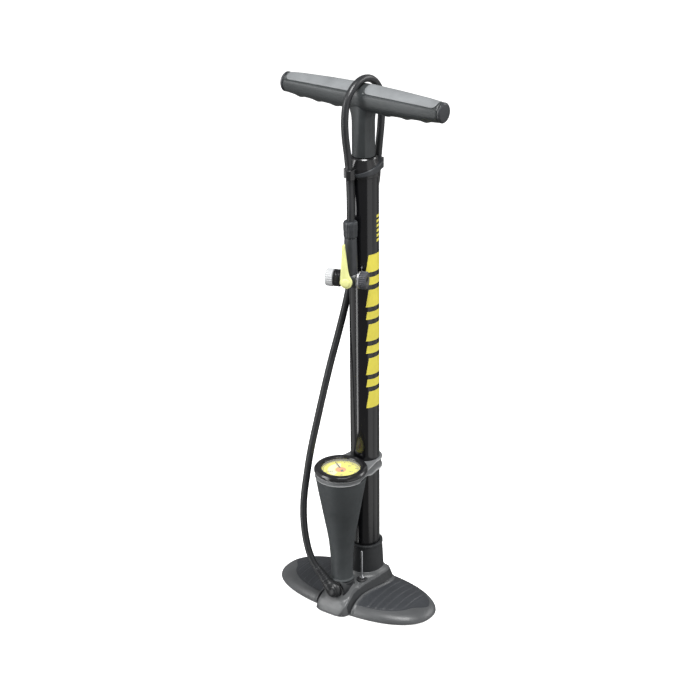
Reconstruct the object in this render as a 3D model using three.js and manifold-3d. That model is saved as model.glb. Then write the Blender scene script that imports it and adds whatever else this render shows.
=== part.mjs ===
// Floor bicycle pump: an upright barrel on a two-winged foot, a T-handle plunger,
// a dial gauge on a tapered tower, and a stowed hose that ends in a twin-port lever chuck.
// Frame: millimetres, +Z up, origin on the barrel's axis at floor level,
// +X along the handle and the wings, -Y towards the gauge.

import * as THREE from 'three';
import { mergeVertices } from 'three/addons/utils/BufferGeometryUtils.js';
import Module from 'manifold-3d';

const wasm = await Module();
wasm.setup();

// ---- Driving dimensions ----

const GAP = 0.3; // clearance between touching pieces
const THROUGH = 1; // how far a cut runs past the face that it opens

const WING_HALF_LENGTH = 111.4;
const WING_HALF_DEPTH = 53.8;
const WING_CENTRE_Y = -18.2;
const WING_ROUNDNESS = 2.26; // exponent of the superellipse outline
const WING_RIM_HEIGHT = 6;
const WING_CROWN = 13;
const SHELL = 3; // wall of the moulded foot
const FOOT_RIM_Z = 1.2; // the foot's rim stands just off the floor, on its pads

const BARREL_R = 18;
const BARREL_WALL = 1.5;
const BARREL_FOOT_Z = 14.3;
const BARREL_TOP_Z = 569;
const BOOT_TOP_Z = 70;
const BOOT_TOP_R = 21;
const BOOT_FOOT_R = 23.3;
const BOOT_WAIST_Z = 29; // where the boot starts to narrow

const CAP_FOOT_Z = 556;
const CAP_TOP_Z = 579;
const CAP_R = 19.6;
const CAP_SHOULDER_Z = 568; // where the cap starts to slope in
const ROD_R = 5;
const ROD_FOOT_Z = 26;
const ROD_TOP_Z = 640;
const ROD_CLEARANCE = 0.3;
const PISTON_LOW_Z = 33;
const PISTON_HIGH_Z = 47;
const BUMPER_FOOT_Z = 553; // the piston's top meets this at full stroke
const GUIDE_FOOT_Z = 562;

const HANDLE_Z = 649.3;
const HANDLE_HALF_LENGTH = 112;
const HANDLE_MID_R = 16;
const HANDLE_END_R = 11.8;
const STEM_R = 13.7;
const STEM_FOOT_Z = CAP_TOP_Z + GAP;
const HUB_HALF_WIDTH = 8.6; // the bare middle of the bar, where the hose lies
const END_CAP_LENGTH = 5;
const END_BAND = 2.4; // bare bar between a cover and its end cap

const TOWER_Y = -51.2;
const CUP_R = 14.6;
const CUP_TOP_Z = 38;
const CUP_FLOOR_Z = 34;
const CUP_BORE_R = 13.3;
const CONE_TOP_Z = 182.2;
const BRACKET_FOOT_Z = 182.5;
const BRACKET_TOP_Z = 189.3;
const BRACKET_R = 32.4;
const COLLAR_R = 21.1;
const COLLAR_FOOT_Z = 174;
const BEZEL_R = 32.9;
const BEZEL_TOP_Z = 195.6;
const LENS_R = 23.3;
const LENS_TOP_Z = 194;

const SWIVEL_Z = 29.3;
const SWIVEL_FACE_Y = -66.5; // face of the foot's boss that the swivel turns on
const SWIVEL_R = 10.3;
const SWIVEL_BOSS_R = 11.4;
const SWIVEL_BOLT_R = 4;
const HOSE_R = 4.4;
const HOSE_EXIT_DIRECTION = new THREE.Vector3(-0.69, -0.02, 0.724).normalize();
const RELIEF_START = 14.3; // along the exit direction, from the swivel's centre
const RELIEF_END = 34;

const CHUCK_X = 2;
const CHUCK_Y = -30;
const CHUCK_Z = 435; // height of the two ports
const CHUCK_TURN = 20; // degrees from +X to the line of the ports
const CHUCK_NECK_TOP = 53; // above the ports
const CHUCK_COLLAR_TOP = 73;

const NEEDLE_X = 13;
const NEEDLE_Y = -26.5;
const SPINE_DECK_Z = 28.6; // top of the foot's spine where the ball needle stands
const NEEDLE_R = 1.2;
const NEEDLE_TIP_Z = 69;
const NEEDLE_FOOT_R = 2.5;
const GROMMET_R = 5.3;
const GROMMET_DEPTH = 2.9;

// The hose's centreline, from the strain relief to the chuck's collar.
const HOSE_ROUTE = [
  [-23.9, -71.4, 54.4],
  [-28.3, -71.5, 59.4],
  [-34.4, -71.6, 70.6],
  [-39.7, -71.4, 88.5],
  [-43.8, -70.3, 113],
  [-46, -66.5, 142],
  [-46.5, -58, 176],
  [-45.5, -50.5, 206],
  [-42.5, -40.5, 243],
  [-38.8, -31.5, 279],
  [-34.8, -21.5, 316],
  [-29.8, -12, 352],
  [-25.6, -4, 384],
  [-23.2, 4.2, 414],
  [-19.6, 12.6, 446],
  [-13.4, 19.7, 479],
  [-6, 23.5, 512],
  [0.4, 25, 542],
  [2.2, 25.3, 565],
  [2.6, 28.2, 588],
  [1.4, 33.6, 611],
  [0.6, 35.6, 632],
  [0.3, 31.4, 651.6],
  [0, 18.4, 665.3],
  [0, 0, 670.3],
  [0, -18.4, 665.3],
  [-0.3, -31.4, 651.6],
  [-0.6, -35.6, 632],
  [-1.4, -33.8, 611],
  [-2.4, -28.6, 588],
  [-2.5, -25.4, 566],
  [-0.8, -26.2, 542],
  [1.7, -29.3, 522],
  [2, -30, 508.4],
];

// ---- Helpers ----

const STEEL = { color: 0xc9ccd0, roughness: 0.28, metalness: 1 };
const BLACK_PAINT = { color: 0x101113, roughness: 0.22, metalness: 0.3 };
const BLACK_GLOSS = { color: 0x16181a, roughness: 0.3, metalness: 0 };
const FOOT_GREY = { color: 0x54575a, roughness: 0.55, metalness: 0 };
const HANDLE_GREY = { color: 0x565c60, roughness: 0.5, metalness: 0 };
const COVER_GREY = { color: 0x81868a, roughness: 0.6, metalness: 0 };
const TOWER_GREY = { color: 0x3b4042, roughness: 0.6, metalness: 0 };
const BRACKET_GREY = { color: 0x878b8d, roughness: 0.5, metalness: 0 };
const RUBBER = { color: 0x1c1d1f, roughness: 0.8, metalness: 0 };
const BRASS = { color: 0xb8934a, roughness: 0.35, metalness: 1 };
const LIME = { color: 0xdde66a, roughness: 0.4, metalness: 0 };
const DIAL_YELLOW = { color: 0xf2dc2c, roughness: 0.5, metalness: 0 };
const CLEAR = { color: 0xeef4f4, roughness: 0.05, metalness: 0 };
const PALE_GREY = { color: 0xc4c7c8, roughness: 0.5, metalness: 0 };

const pump = new THREE.Group();

const radians = THREE.MathUtils.degToRad;

// Keeps only positions, shares the vertices and turns the faces outwards.
function closed(geometry) {
  const bare = new THREE.BufferGeometry();
  bare.setAttribute('position', geometry.getAttribute('position').clone());
  if (geometry.index) bare.setIndex(geometry.index.clone());
  const merged = mergeVertices(bare, 1e-4);
  const index = merged.index.array;
  const points = merged.getAttribute('position');
  const a = new THREE.Vector3();
  const b = new THREE.Vector3();
  const c = new THREE.Vector3();
  const kept = [];
  let volume = 0;
  for (let i = 0; i < index.length; i += 3) {
    const [p, q, r] = [index[i], index[i + 1], index[i + 2]];
    if (p === q || q === r || r === p) continue;
    kept.push(p, q, r);
    a.fromBufferAttribute(points, p);
    b.fromBufferAttribute(points, q);
    c.fromBufferAttribute(points, r);
    volume += a.dot(b.cross(c));
  }
  merged.setIndex(volume < 0 ? kept.reverse() : kept);
  return merged;
}

function solid(geometry) {
  const shape = closed(geometry);
  const mesh = new wasm.Mesh({
    numProp: 3,
    vertProperties: new Float32Array(shape.getAttribute('position').array),
    triVerts: new Uint32Array(shape.index.array),
  });
  return new wasm.Manifold(mesh);
}

function surface(manifold) {
  const mesh = manifold.getMesh();
  const geometry = new THREE.BufferGeometry();
  geometry.setAttribute('position', new THREE.BufferAttribute(mesh.vertProperties, 3));
  geometry.setIndex(new THREE.BufferAttribute(mesh.triVerts, 1));
  return geometry;
}

// Joins the first shape with the others, then takes the cuts away.
function shaped(joins, cuts = []) {
  let body = solid(joins[0]);
  for (const join of joins.slice(1)) body = body.add(solid(join));
  for (const cut of cuts) body = body.subtract(solid(cut));
  return surface(body);
}

function place(name, geometry, finish, parent = pump) {
  const material = new THREE.MeshStandardMaterial(finish);
  const mesh = new THREE.Mesh(closed(geometry), material);
  mesh.name = name;
  parent.add(mesh);
  return mesh;
}

// A turned shape about Z from [radius, height] points. It closes on the axis or on itself.
function turned(profile, sides = 32) {
  const points = profile.map(([r, z]) => new THREE.Vector2(r, z));
  const onAxis = profile[0][0] === 0 && profile[profile.length - 1][0] === 0;
  if (!onAxis) points.push(points[0].clone());
  return new THREE.LatheGeometry(points, sides).rotateX(Math.PI / 2);
}

function rod(radius, low, high, sides = 24) {
  return turned([[0, low], [radius, low], [radius, high], [0, high]], sides);
}

function tube(inner, outer, low, high, sides = 32) {
  return turned([[inner, low], [outer, low], [outer, high], [inner, high]], sides);
}

function hexNut(bore, cornerR, low, high) {
  return shaped([rod(cornerR, low, high, 6)], [rod(bore, low - 1, high + 1, 24)]);
}

function alongX(geometry) {
  return geometry.rotateY(Math.PI / 2);
}

// Turns a shape's +Z to -Y, the way that the front faces.
function alongFront(geometry) {
  return geometry.rotateX(Math.PI / 2);
}

function extruded(shape, low, high, curveSegments = 12) {
  const options = { depth: high - low, bevelEnabled: false, curveSegments };
  return new THREE.ExtrudeGeometry(shape, options).translate(0, 0, low);
}

function circleShape(radius, sides) {
  const points = [];
  for (let i = 0; i < sides; i += 1) {
    const angle = (2 * Math.PI * i) / sides;
    points.push(new THREE.Vector2(radius * Math.cos(angle), radius * Math.sin(angle)));
  }
  return new THREE.Shape(points);
}

function tubeAlong(curve, radius, sides, steps) {
  const options = { steps, extrudePath: curve, bevelEnabled: false };
  return new THREE.ExtrudeGeometry(circleShape(radius, sides), options);
}

// Points a shape's +Z along a direction and moves its origin to a place.
function aimed(geometry, direction, origin) {
  const turn = new THREE.Quaternion().setFromUnitVectors(new THREE.Vector3(0, 0, 1), direction);
  return geometry.applyQuaternion(turn).translate(...origin);
}

// ---- Foot ----

function wingPoint(angle, inset) {
  const power = 2 / WING_ROUNDNESS;
  const cos = Math.cos(angle);
  const sin = Math.sin(angle);
  const x = Math.sign(cos) * Math.abs(cos) ** power * (WING_HALF_LENGTH - inset);
  const y = Math.sign(sin) * Math.abs(sin) ** power * (WING_HALF_DEPTH - inset);
  return [x, y];
}

// A low dome over the wings' outline, with a flat underside.
function wingDome(inset, drop, floorZ, sides, rings) {
  const rimZ = WING_RIM_HEIGHT - drop;
  const points = [];
  const faces = [];
  const outline = Array.from({ length: sides }, (_, i) => wingPoint((2 * Math.PI * i) / sides, inset));
  const levels = [[1, floorZ], ...rings.map((s) => [s, rimZ + WING_CROWN * (1 - s ** 2.4)])];
  for (const [scale, z] of levels) {
    for (const [x, y] of outline) points.push(x * scale, WING_CENTRE_Y + y * scale, z);
  }
  const foot = points.length / 3;
  points.push(0, WING_CENTRE_Y, floorZ, 0, WING_CENTRE_Y, rimZ + WING_CROWN);
  for (let i = 0; i < sides; i += 1) {
    const next = (i + 1) % sides;
    faces.push(foot, next, i);
    for (let level = 0; level < levels.length - 1; level += 1) {
      const low = level * sides;
      const high = low + sides;
      faces.push(low + i, low + next, high + next, low + i, high + next, high + i);
    }
    const top = (levels.length - 1) * sides;
    faces.push(top + i, top + next, foot + 1);
  }
  const geometry = new THREE.BufferGeometry();
  geometry.setAttribute('position', new THREE.Float32BufferAttribute(points, 3));
  geometry.setIndex(faces);
  return geometry;
}

// Stations of the spine, front to back: [y, half width of its top, height of its top].
const SPINE = [
  [-82.5, 8, 3.5],
  [-81, 14, 6.5],
  [-78, 18.5, 9.5],
  [-73, 20, 13.5],
  [-65, 19.2, 17.6],
  [-55, 18.2, 21.4],
  [-44, 18.2, 24.6],
  [-32, 20.4, 27.3],
  [-20, 23.2, SPINE_DECK_Z],
  [-8, 25.6, 29.2],
  [6, 26.6, 29.2],
  [17, 25, 28.4],
  [26, 20, 26.8],
  [32, 11, 25],
];
const SPINE_FLARE = 5; // how much wider the spine is at the floor than at its top

// The raised spine between the wings, as a strip of left and right points at each station.
function spineSolid(inset, drop, floorZ) {
  const points = [];
  const faces = [];
  const last = SPINE.length - 1;
  SPINE.forEach(([y, half, height], i) => {
    const shift = i === 0 ? inset : i === last ? -inset : 0;
    const top = Math.max(height - drop, floorZ + 0.5);
    const wide = half + SPINE_FLARE * Math.min(1, height / 20) - inset;
    const flare = i === 0 ? -1 : i === last ? SPINE_FLARE : 0;
    const narrow = half - inset;
    points.push(-narrow, y + shift, top, narrow, y + shift, top);
    points.push(-wide, y + shift + flare, floorZ, wide, y + shift + flare, floorZ);
  });
  for (let i = 0; i < last; i += 1) {
    const [tl, tr, bl, br] = [4 * i, 4 * i + 1, 4 * i + 2, 4 * i + 3];
    faces.push(tl, tr, tr + 4, tl, tr + 4, tl + 4);
    faces.push(br, bl, bl + 4, br, bl + 4, br + 4);
    faces.push(bl, tl, tl + 4, bl, tl + 4, bl + 4);
    faces.push(tr, br, br + 4, tr, br + 4, tr + 4);
  }
  faces.push(0, 2, 3, 0, 3, 1);
  const end = 4 * last;
  faces.push(end, end + 1, end + 3, end, end + 3, end + 2);
  const geometry = new THREE.BufferGeometry();
  geometry.setAttribute('position', new THREE.Float32BufferAttribute(points, 3));
  geometry.setIndex(faces);
  return geometry;
}

const PAD_SPOTS = {
  front_left: [-66, -38],
  front_right: [66, -38],
  rear_left: [-66, 2],
  rear_right: [66, 2],
};
const PAD_R = 8;
const PAD_TOP_Z = 3.3;
const VALVE_POCKET_R = 9;
const VALVE_POCKET_FLOOR_Z = 6.5;
const GALLERY_Z = 10;
const GALLERY_R = 2.7;
const PIPE_BORE_R = 6;

function foot() {
  const hollowZ = FOOT_RIM_Z - THROUGH;
  const postFootZ = PAD_TOP_Z + GAP;
  const boot = turned([
    [0, postFootZ], [BOOT_FOOT_R, postFootZ], [BOOT_FOOT_R, BOOT_WAIST_Z],
    [BOOT_TOP_R, BOOT_TOP_Z - 2], [BOOT_TOP_R, BOOT_TOP_Z], [0, BOOT_TOP_Z],
  ], 32);
  const cup = turned([
    [0, postFootZ], [CUP_R, postFootZ], [CUP_R, CUP_TOP_Z - 2],
    [CUP_R + 0.6, CUP_TOP_Z - 1.6], [CUP_R + 0.6, CUP_TOP_Z], [0, CUP_TOP_Z],
  ], 28).translate(0, TOWER_Y, 0);
  const boss = alongFront(rod(SWIVEL_BOSS_R, -TOWER_Y, -SWIVEL_FACE_Y, 24)).translate(0, 0, SWIVEL_Z);
  const needlePost = rod(8, 15, SPINE_DECK_Z - 1.6, 16).translate(NEEDLE_X, NEEDLE_Y, 0);
  const padPosts = Object.values(PAD_SPOTS).map(([x, y]) => (
    rod(PAD_R + 1, postFootZ, 10.5, 16).translate(x, y, 0)
  ));

  let body = solid(wingDome(0, 0, FOOT_RIM_Z, 44, [1, 0.97, 0.89, 0.76, 0.58, 0.36]));
  body = body.add(solid(spineSolid(0, 0, FOOT_RIM_Z)));
  body = body.subtract(solid(wingDome(SHELL, SHELL, hollowZ, 32, [1, 0.88, 0.65, 0.36])));
  body = body.subtract(solid(spineSolid(SHELL, SHELL, hollowZ)));
  for (const part of [boot, cup, boss, needlePost, ...padPosts]) body = body.add(solid(part));

  const cuts = [
    rod(BARREL_R + GAP, BARREL_FOOT_Z - GAP, BOOT_TOP_Z + THROUGH, 32),
    rod(VALVE_POCKET_R, VALVE_POCKET_FLOOR_Z, BARREL_FOOT_Z, 20),
    rod(CUP_BORE_R, CUP_FLOOR_Z, CUP_TOP_Z + 5, 28).translate(0, TOWER_Y, 0),
    rod(PIPE_BORE_R, VALVE_POCKET_FLOOR_Z, CUP_FLOOR_Z + THROUGH, 16).translate(0, TOWER_Y, 0),
    alongFront(rod(GALLERY_R + GAP + 0.1, 5, -TOWER_Y, 12)).translate(0, 0, GALLERY_Z),
    alongFront(rod(SWIVEL_BOLT_R + 0.4, -TOWER_Y, THROUGH - SWIVEL_FACE_Y, 16)).translate(0, 0, SWIVEL_Z),
    rod(NEEDLE_FOOT_R + 0.4, 18, SPINE_DECK_Z + 11, 12).translate(NEEDLE_X, NEEDLE_Y, 0),
    rod(GROMMET_R + 0.4, SPINE_DECK_Z - GROMMET_DEPTH - GAP, SPINE_DECK_Z + 11, 16)
      .translate(NEEDLE_X, NEEDLE_Y, 0),
  ];
  for (const cut of cuts) body = body.subtract(solid(cut));
  place('base_body', surface(body), FOOT_GREY);
}

function footPads() {
  for (const [side, [x, y]] of Object.entries(PAD_SPOTS)) {
    place(`foot_pad_${side}`, rod(PAD_R, 0, PAD_TOP_Z, 20).translate(x, y, 0), RUBBER);
  }
  place('foot_pad_centre', rod(14, 0, PAD_TOP_Z, 24), RUBBER);
}

// ---- Barrel and foot valve ----

const PLUG_R = BARREL_R - BARREL_WALL - GAP;
const PLUG_TOP_Z = 24;

function barrel() {
  place('barrel', tube(BARREL_R - BARREL_WALL, BARREL_R, BARREL_FOOT_Z, BARREL_TOP_Z, 32), BLACK_PAINT);
  place('barrel_foot_plug', turned([
    [3, BARREL_FOOT_Z], [PLUG_R, BARREL_FOOT_Z], [PLUG_R, 17], [PLUG_R - 2.2, 17],
    [PLUG_R - 2.2, 20.5], [PLUG_R, 20.5], [PLUG_R, PLUG_TOP_Z], [3, PLUG_TOP_Z],
  ], 24), BLACK_GLOSS);
  place('barrel_foot_seal', tube(PLUG_R - 1.8, PLUG_R, 17.3, 20.2, 24), RUBBER);
}

// A coil spring of round wire, standing on a given floor.
function coilSpring(radius, wire, low, high, turns, perTurn) {
  const points = [];
  const count = turns * perTurn;
  for (let i = 0; i <= count; i += 1) {
    const angle = (2 * Math.PI * i) / perTurn;
    const z = low + wire + ((high - low - 2 * wire) * i) / count;
    points.push(new THREE.Vector3(radius * Math.cos(angle), radius * Math.sin(angle), z));
  }
  return tubeAlong(new THREE.CatmullRomCurve3(points), wire, 5, count);
}

function footValve() {
  place('check_valve_disc', rod(6, 12.2, BARREL_FOOT_Z - GAP, 20), RUBBER);
  place('check_valve_spring', coilSpring(4.2, 0.45, VALVE_POCKET_FLOOR_Z + GAP, 11.9, 3, 10), STEEL);
  const gallery = tube(1.6, GALLERY_R, 12, 41, 12);
  place('air_gallery_tube', alongFront(gallery).translate(0, 0, GALLERY_Z), BRASS);
}

// ---- Plunger ----

const SEAL_SEAT_R = 12.6;
const HANDLE_BOLT_R = 2.3;

function plunger() {
  const thread = rod(HANDLE_BOLT_R + GAP, HANDLE_Z - 27.3, ROD_TOP_Z + THROUGH, 12);
  place('piston_rod', shaped([rod(ROD_R, ROD_FOOT_Z, ROD_TOP_Z, 24)], [thread]), STEEL);
  const bore = ROD_R + ROD_CLEARANCE;
  place('piston_body', turned([
    [bore, PISTON_LOW_Z], [PLUG_R, PISTON_LOW_Z], [PLUG_R, PISTON_LOW_Z + 4],
    [SEAL_SEAT_R, PISTON_LOW_Z + 4], [SEAL_SEAT_R, PISTON_HIGH_Z - 4],
    [PLUG_R, PISTON_HIGH_Z - 4], [PLUG_R, PISTON_HIGH_Z], [bore, PISTON_HIGH_Z],
  ], 24), BLACK_GLOSS);
  const seal = tube(SEAL_SEAT_R + GAP, PLUG_R, PISTON_LOW_Z + 4 + GAP, PISTON_HIGH_Z - 4 - GAP, 24);
  place('piston_cup_seal', seal, RUBBER);
  place('piston_nut', hexNut(bore, 9, PISTON_LOW_Z - 6, PISTON_LOW_Z - GAP), STEEL);
}

// ---- Handle ----

const BAR_END = HANDLE_HALF_LENGTH - END_CAP_LENGTH;

function barProfile() {
  return [
    [0, -BAR_END], [HANDLE_END_R, -BAR_END], [13.4, -88], [15.2, -48], [HANDLE_MID_R, -16],
    [HANDLE_MID_R, 16], [15.2, 48], [13.4, 88], [HANDLE_END_R, BAR_END], [0, BAR_END],
  ];
}

// The height above the bar's axis where a cover meets the bar's lower half.
const COVER_LINE_MID = 8.2;
const COVER_LINE_END = 5.6;

function coverLine(x) {
  return COVER_LINE_MID + ((COVER_LINE_END - COVER_LINE_MID) * x) / HANDLE_HALF_LENGTH;
}

// The space of one cover: above its line, from the hub nearly to the bar's end.
function coverBlock(side, clearance) {
  const low = HUB_HALF_WIDTH + clearance;
  const high = BAR_END - END_BAND - clearance;
  const shape = new THREE.Shape();
  shape.moveTo(side * low, coverLine(low) + clearance);
  shape.lineTo(side * high, coverLine(high) + clearance);
  shape.lineTo(side * high, 2 * HANDLE_MID_R);
  shape.lineTo(side * low, 2 * HANDLE_MID_R);
  return extruded(shape, -2 * HANDLE_MID_R, 2 * HANDLE_MID_R).rotateX(Math.PI / 2);
}

const FINGER_RIDGES = [36, 62, 88];
const SIDES = { left: -1, right: 1 };
const BOLT_HEAD_R = 4.6;

function fingerRidges() {
  const ridges = [];
  for (const x of FINGER_RIDGES) {
    for (const side of Object.values(SIDES)) {
      const ridge = new THREE.SphereGeometry(6, 10, 6).scale(1.1, 1.3, 1);
      ridges.push(ridge.translate(side * x, 0, (x - FINGER_RIDGES[0]) * 0.028 - 9.6));
    }
  }
  return ridges;
}

function handle() {
  const bar = alongX(turned(barProfile(), 28));
  const stem = turned([
    [0, STEM_FOOT_Z - HANDLE_Z], [STEM_R, STEM_FOOT_Z - HANDLE_Z], [STEM_R, -22],
    [STEM_R + 2, -14], [STEM_R + 2, 0], [0, 0],
  ], 24);
  const body = shaped(
    [bar.clone(), stem, ...fingerRidges()],
    [
      coverBlock(SIDES.left, 0),
      coverBlock(SIDES.right, 0),
      rod(ROD_R + ROD_CLEARANCE, STEM_FOOT_Z - HANDLE_Z - THROUGH, ROD_TOP_Z - HANDLE_Z + GAP, 24),
      rod(HANDLE_BOLT_R + 0.5, -20, 20, 12),
      rod(8, -2, 2 * HANDLE_MID_R, 20),
    ],
  );
  const group = new THREE.Group();
  group.position.set(0, 0, HANDLE_Z);
  pump.add(group);
  place('handle_body', body, HANDLE_GREY, group);

  const start = BAR_END + GAP;
  const endCap = [
    [0, start], [HANDLE_END_R + 0.2, start], [HANDLE_END_R, HANDLE_HALF_LENGTH - 1.4],
    [HANDLE_END_R - 1.6, HANDLE_HALF_LENGTH - 0.2], [0, HANDLE_HALF_LENGTH],
  ];
  for (const [name, side] of Object.entries(SIDES)) {
    const cover = solid(bar).intersect(solid(coverBlock(side, GAP)));
    place(`handle_cover_${name}`, surface(cover), COVER_GREY, group);
    const turn = side > 0 ? 0 : Math.PI;
    place(`handle_end_cap_${name}`, alongX(turned(endCap, 24)).rotateZ(turn), HANDLE_GREY, group);
  }

  place('handle_washer', tube(HANDLE_BOLT_R + 0.5, 7, -1.7, -0.5, 20), STEEL, group);
  place('handle_bolt', turned([
    [0, -25], [HANDLE_BOLT_R, -25], [HANDLE_BOLT_R, -0.2], [BOLT_HEAD_R, -0.2], [BOLT_HEAD_R, 4], [0, 4],
  ], 12), STEEL, group);
  place('handle_hub_plug', turned([
    [0, 8], [7.6, 8], [7.6, HANDLE_MID_R - 2.4], [0, HANDLE_MID_R - 2],
  ], 20), HANDLE_GREY, group);
}

// ---- Cap on the barrel ----

const FRONT_CLIP = { x: -2.5, y: -25.4, opening: 235 };
const REAR_CLIP = { x: 2.2, y: 25.2, opening: 80 };
const CLIP_INNER_R = HOSE_R + 0.8;
const CLIP_OUTER_R = 7.6;
const CLIP_MOUTH = 96; // degrees of the clip that stay open
const GUIDE_NOSE_R = 9; // the part of the guide bush that fills the cap's top

// A spring clip that holds the hose: a C-shaped hook on the side of the cap.
function clipHook({ x, y, opening }, low, high) {
  const start = radians(opening + CLIP_MOUTH / 2);
  const end = radians(opening - CLIP_MOUTH / 2 + 360);
  const shape = new THREE.Shape();
  shape.absarc(x, y, CLIP_OUTER_R, start, end, false);
  shape.absarc(x, y, CLIP_INNER_R, end, start, true);
  return extruded(shape, low, high, 12);
}

function cap() {
  const skirt = BARREL_R + GAP;
  const rodBore = ROD_R + ROD_CLEARANCE;
  const body = turned([
    [skirt, CAP_FOOT_Z], [CAP_R - 0.6, CAP_FOOT_Z], [CAP_R, CAP_FOOT_Z + 4], [CAP_R, CAP_SHOULDER_Z],
    [STEM_R + 1, CAP_TOP_Z], [GUIDE_NOSE_R + GAP, CAP_TOP_Z], [GUIDE_NOSE_R + GAP, BARREL_TOP_Z + GAP],
    [skirt, BARREL_TOP_Z + GAP],
  ], 32);
  const hooks = [
    clipHook(FRONT_CLIP, CAP_FOOT_Z + 1, CAP_SHOULDER_Z + 1),
    clipHook(REAR_CLIP, CAP_FOOT_Z + 2, CAP_SHOULDER_Z + 3),
  ];
  const bore = rod(skirt, CAP_FOOT_Z - THROUGH, BARREL_TOP_Z + GAP, 32);
  place('top_cap', shaped([body, ...hooks], [bore]), BLACK_GLOSS);
  place('rod_guide_bush', turned([
    [rodBore, GUIDE_FOOT_Z], [PLUG_R, GUIDE_FOOT_Z], [PLUG_R, BARREL_TOP_Z - 0.4],
    [GUIDE_NOSE_R, BARREL_TOP_Z - 0.4], [GUIDE_NOSE_R, CAP_TOP_Z - 1], [rodBore, CAP_TOP_Z - 1],
  ], 24), BRACKET_GREY);
  place('rod_bumper', tube(rodBore, 8, BUMPER_FOOT_Z, GUIDE_FOOT_Z - GAP, 20), RUBBER);
}

// ---- Gauge tower ----

const CONE_WALL = 2;
const CONE_FOOT_Z = CUP_FLOOR_Z + GAP;
const CONE_FOOT_R = CUP_BORE_R - 0.7;
const PIPE_R = 3;

function gaugeTower() {
  const outer = [
    [CONE_FOOT_R, CONE_FOOT_Z], [CONE_FOOT_R, 39], [13.4, 54], [14, 72], [15.8, 92],
    [20.9, 121], [28.3, 163], [31.4, CONE_TOP_Z],
  ];
  const inner = [outer[7], outer[6], outer[4], outer[3], outer[0]].map(([r, z]) => [r - CONE_WALL, z]);
  place('gauge_tower', turned([...outer, ...inner], 32).translate(0, TOWER_Y, 0), TOWER_GREY);
  place('gauge_pipe', tube(PIPE_R / 2, PIPE_R, 22, 160, 10).translate(0, TOWER_Y, 0), BRASS);
}

// Outline of a strap that is tangent to two circles on the Y axis.
function strapShape(rearR, frontR, frontY) {
  const tilt = Math.asin((frontR - rearR) / Math.abs(frontY));
  const shape = new THREE.Shape();
  shape.absarc(0, 0, rearR, -tilt, Math.PI + tilt, false);
  shape.absarc(0, frontY, frontR, Math.PI + tilt, 2 * Math.PI - tilt, false);
  return shape;
}

const CASE_R = 25;
const CASE_FOOT_Z = 168;
const SCREW_Z = COLLAR_FOOT_Z + 5;
const SCREW_R = 1.6;

function gaugeBracket() {
  const plate = extruded(strapShape(COLLAR_R, BRACKET_R, TOWER_Y), BRACKET_FOOT_Z, BRACKET_TOP_Z, 14);
  const collar = rod(COLLAR_R, COLLAR_FOOT_Z, BRACKET_TOP_Z, 32);
  const cuts = [
    rod(BARREL_R + GAP, COLLAR_FOOT_Z - THROUGH, BRACKET_TOP_Z + THROUGH, 32),
    rod(CASE_R + 2, COLLAR_FOOT_Z - THROUGH, BRACKET_TOP_Z + THROUGH, 32).translate(0, TOWER_Y, 0),
    rod(31.9, COLLAR_FOOT_Z - THROUGH, BRACKET_FOOT_Z, 32).translate(0, TOWER_Y, 0),
    alongFront(rod(SCREW_R + GAP, -30, -17, 12)).translate(0, 0, SCREW_Z),
  ];
  place('gauge_bracket', shaped([plate, collar], cuts), BRACKET_GREY);
  const start = BARREL_R + 0.4;
  const screw = turned([
    [0, start], [SCREW_R, start], [SCREW_R, COLLAR_R + GAP], [2 * SCREW_R, COLLAR_R + GAP],
    [2 * SCREW_R, COLLAR_R + 2], [0, COLLAR_R + 2],
  ], 12);
  place('bracket_screw', screw.rotateX(-Math.PI / 2).translate(0, 0, SCREW_Z), STEEL);
}

const DIAL_R = 23.5;
const DIAL_FOOT_Z = 186.4;
const LENS_FOOT_Z = 192.2;
const BEZEL_FOOT_Z = 189.6;
const GEAR_R = 12; // the sector's pitch radius
const PINION_R = 2.6;
const GEAR_Z = 178.4;
const SECTOR_X = -GEAR_R - PINION_R - GAP;
const SECTOR_SPREAD = 34; // degrees to each side of its middle
const SECTOR_REST = -29; // degrees from +X to its middle at rest
const POINTER_REST = 145; // degrees from +X, at zero pressure
const BOURDON_END = 130; // degrees to each side of +X that the curved tube reaches

function gaugeCase(group) {
  place('gauge_case', turned([
    [PIPE_R + GAP, CASE_FOOT_Z], [CASE_R, CASE_FOOT_Z], [CASE_R, BEZEL_FOOT_Z], [29, BEZEL_FOOT_Z],
    [29, BEZEL_FOOT_Z + 1.4], [CASE_R - 1.1, BEZEL_FOOT_Z + 1.4], [CASE_R - 1.1, CASE_FOOT_Z + 1.4],
    [PIPE_R + GAP, CASE_FOOT_Z + 1.4],
  ], 28), BLACK_GLOSS, group);
  place('gauge_bezel', turned([
    [29.3, BEZEL_FOOT_Z], [BEZEL_R - 0.6, BEZEL_FOOT_Z], [BEZEL_R, BEZEL_FOOT_Z + 1.4],
    [BEZEL_R, BEZEL_TOP_Z - 2], [BEZEL_R - 2.2, BEZEL_TOP_Z], [LENS_R + 1.6, BEZEL_TOP_Z],
    [LENS_R, LENS_TOP_Z + GAP], [26, LENS_TOP_Z + GAP], [26, BEZEL_FOOT_Z + 1.7], [29.3, BEZEL_FOOT_Z + 1.7],
  ], 36), BLACK_GLOSS, group);
  place('gauge_lens', rod(26 - GAP, LENS_FOOT_Z, LENS_TOP_Z, 32), CLEAR, group);
  place('gauge_dial', tube(1.7, DIAL_R, DIAL_FOOT_Z, DIAL_FOOT_Z + 0.8, 32), DIAL_YELLOW, group);
  place('gauge_union_nut', hexNut(PIPE_R + GAP, 7, CASE_FOOT_Z - 7, CASE_FOOT_Z - GAP), BRASS, group);
}

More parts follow.
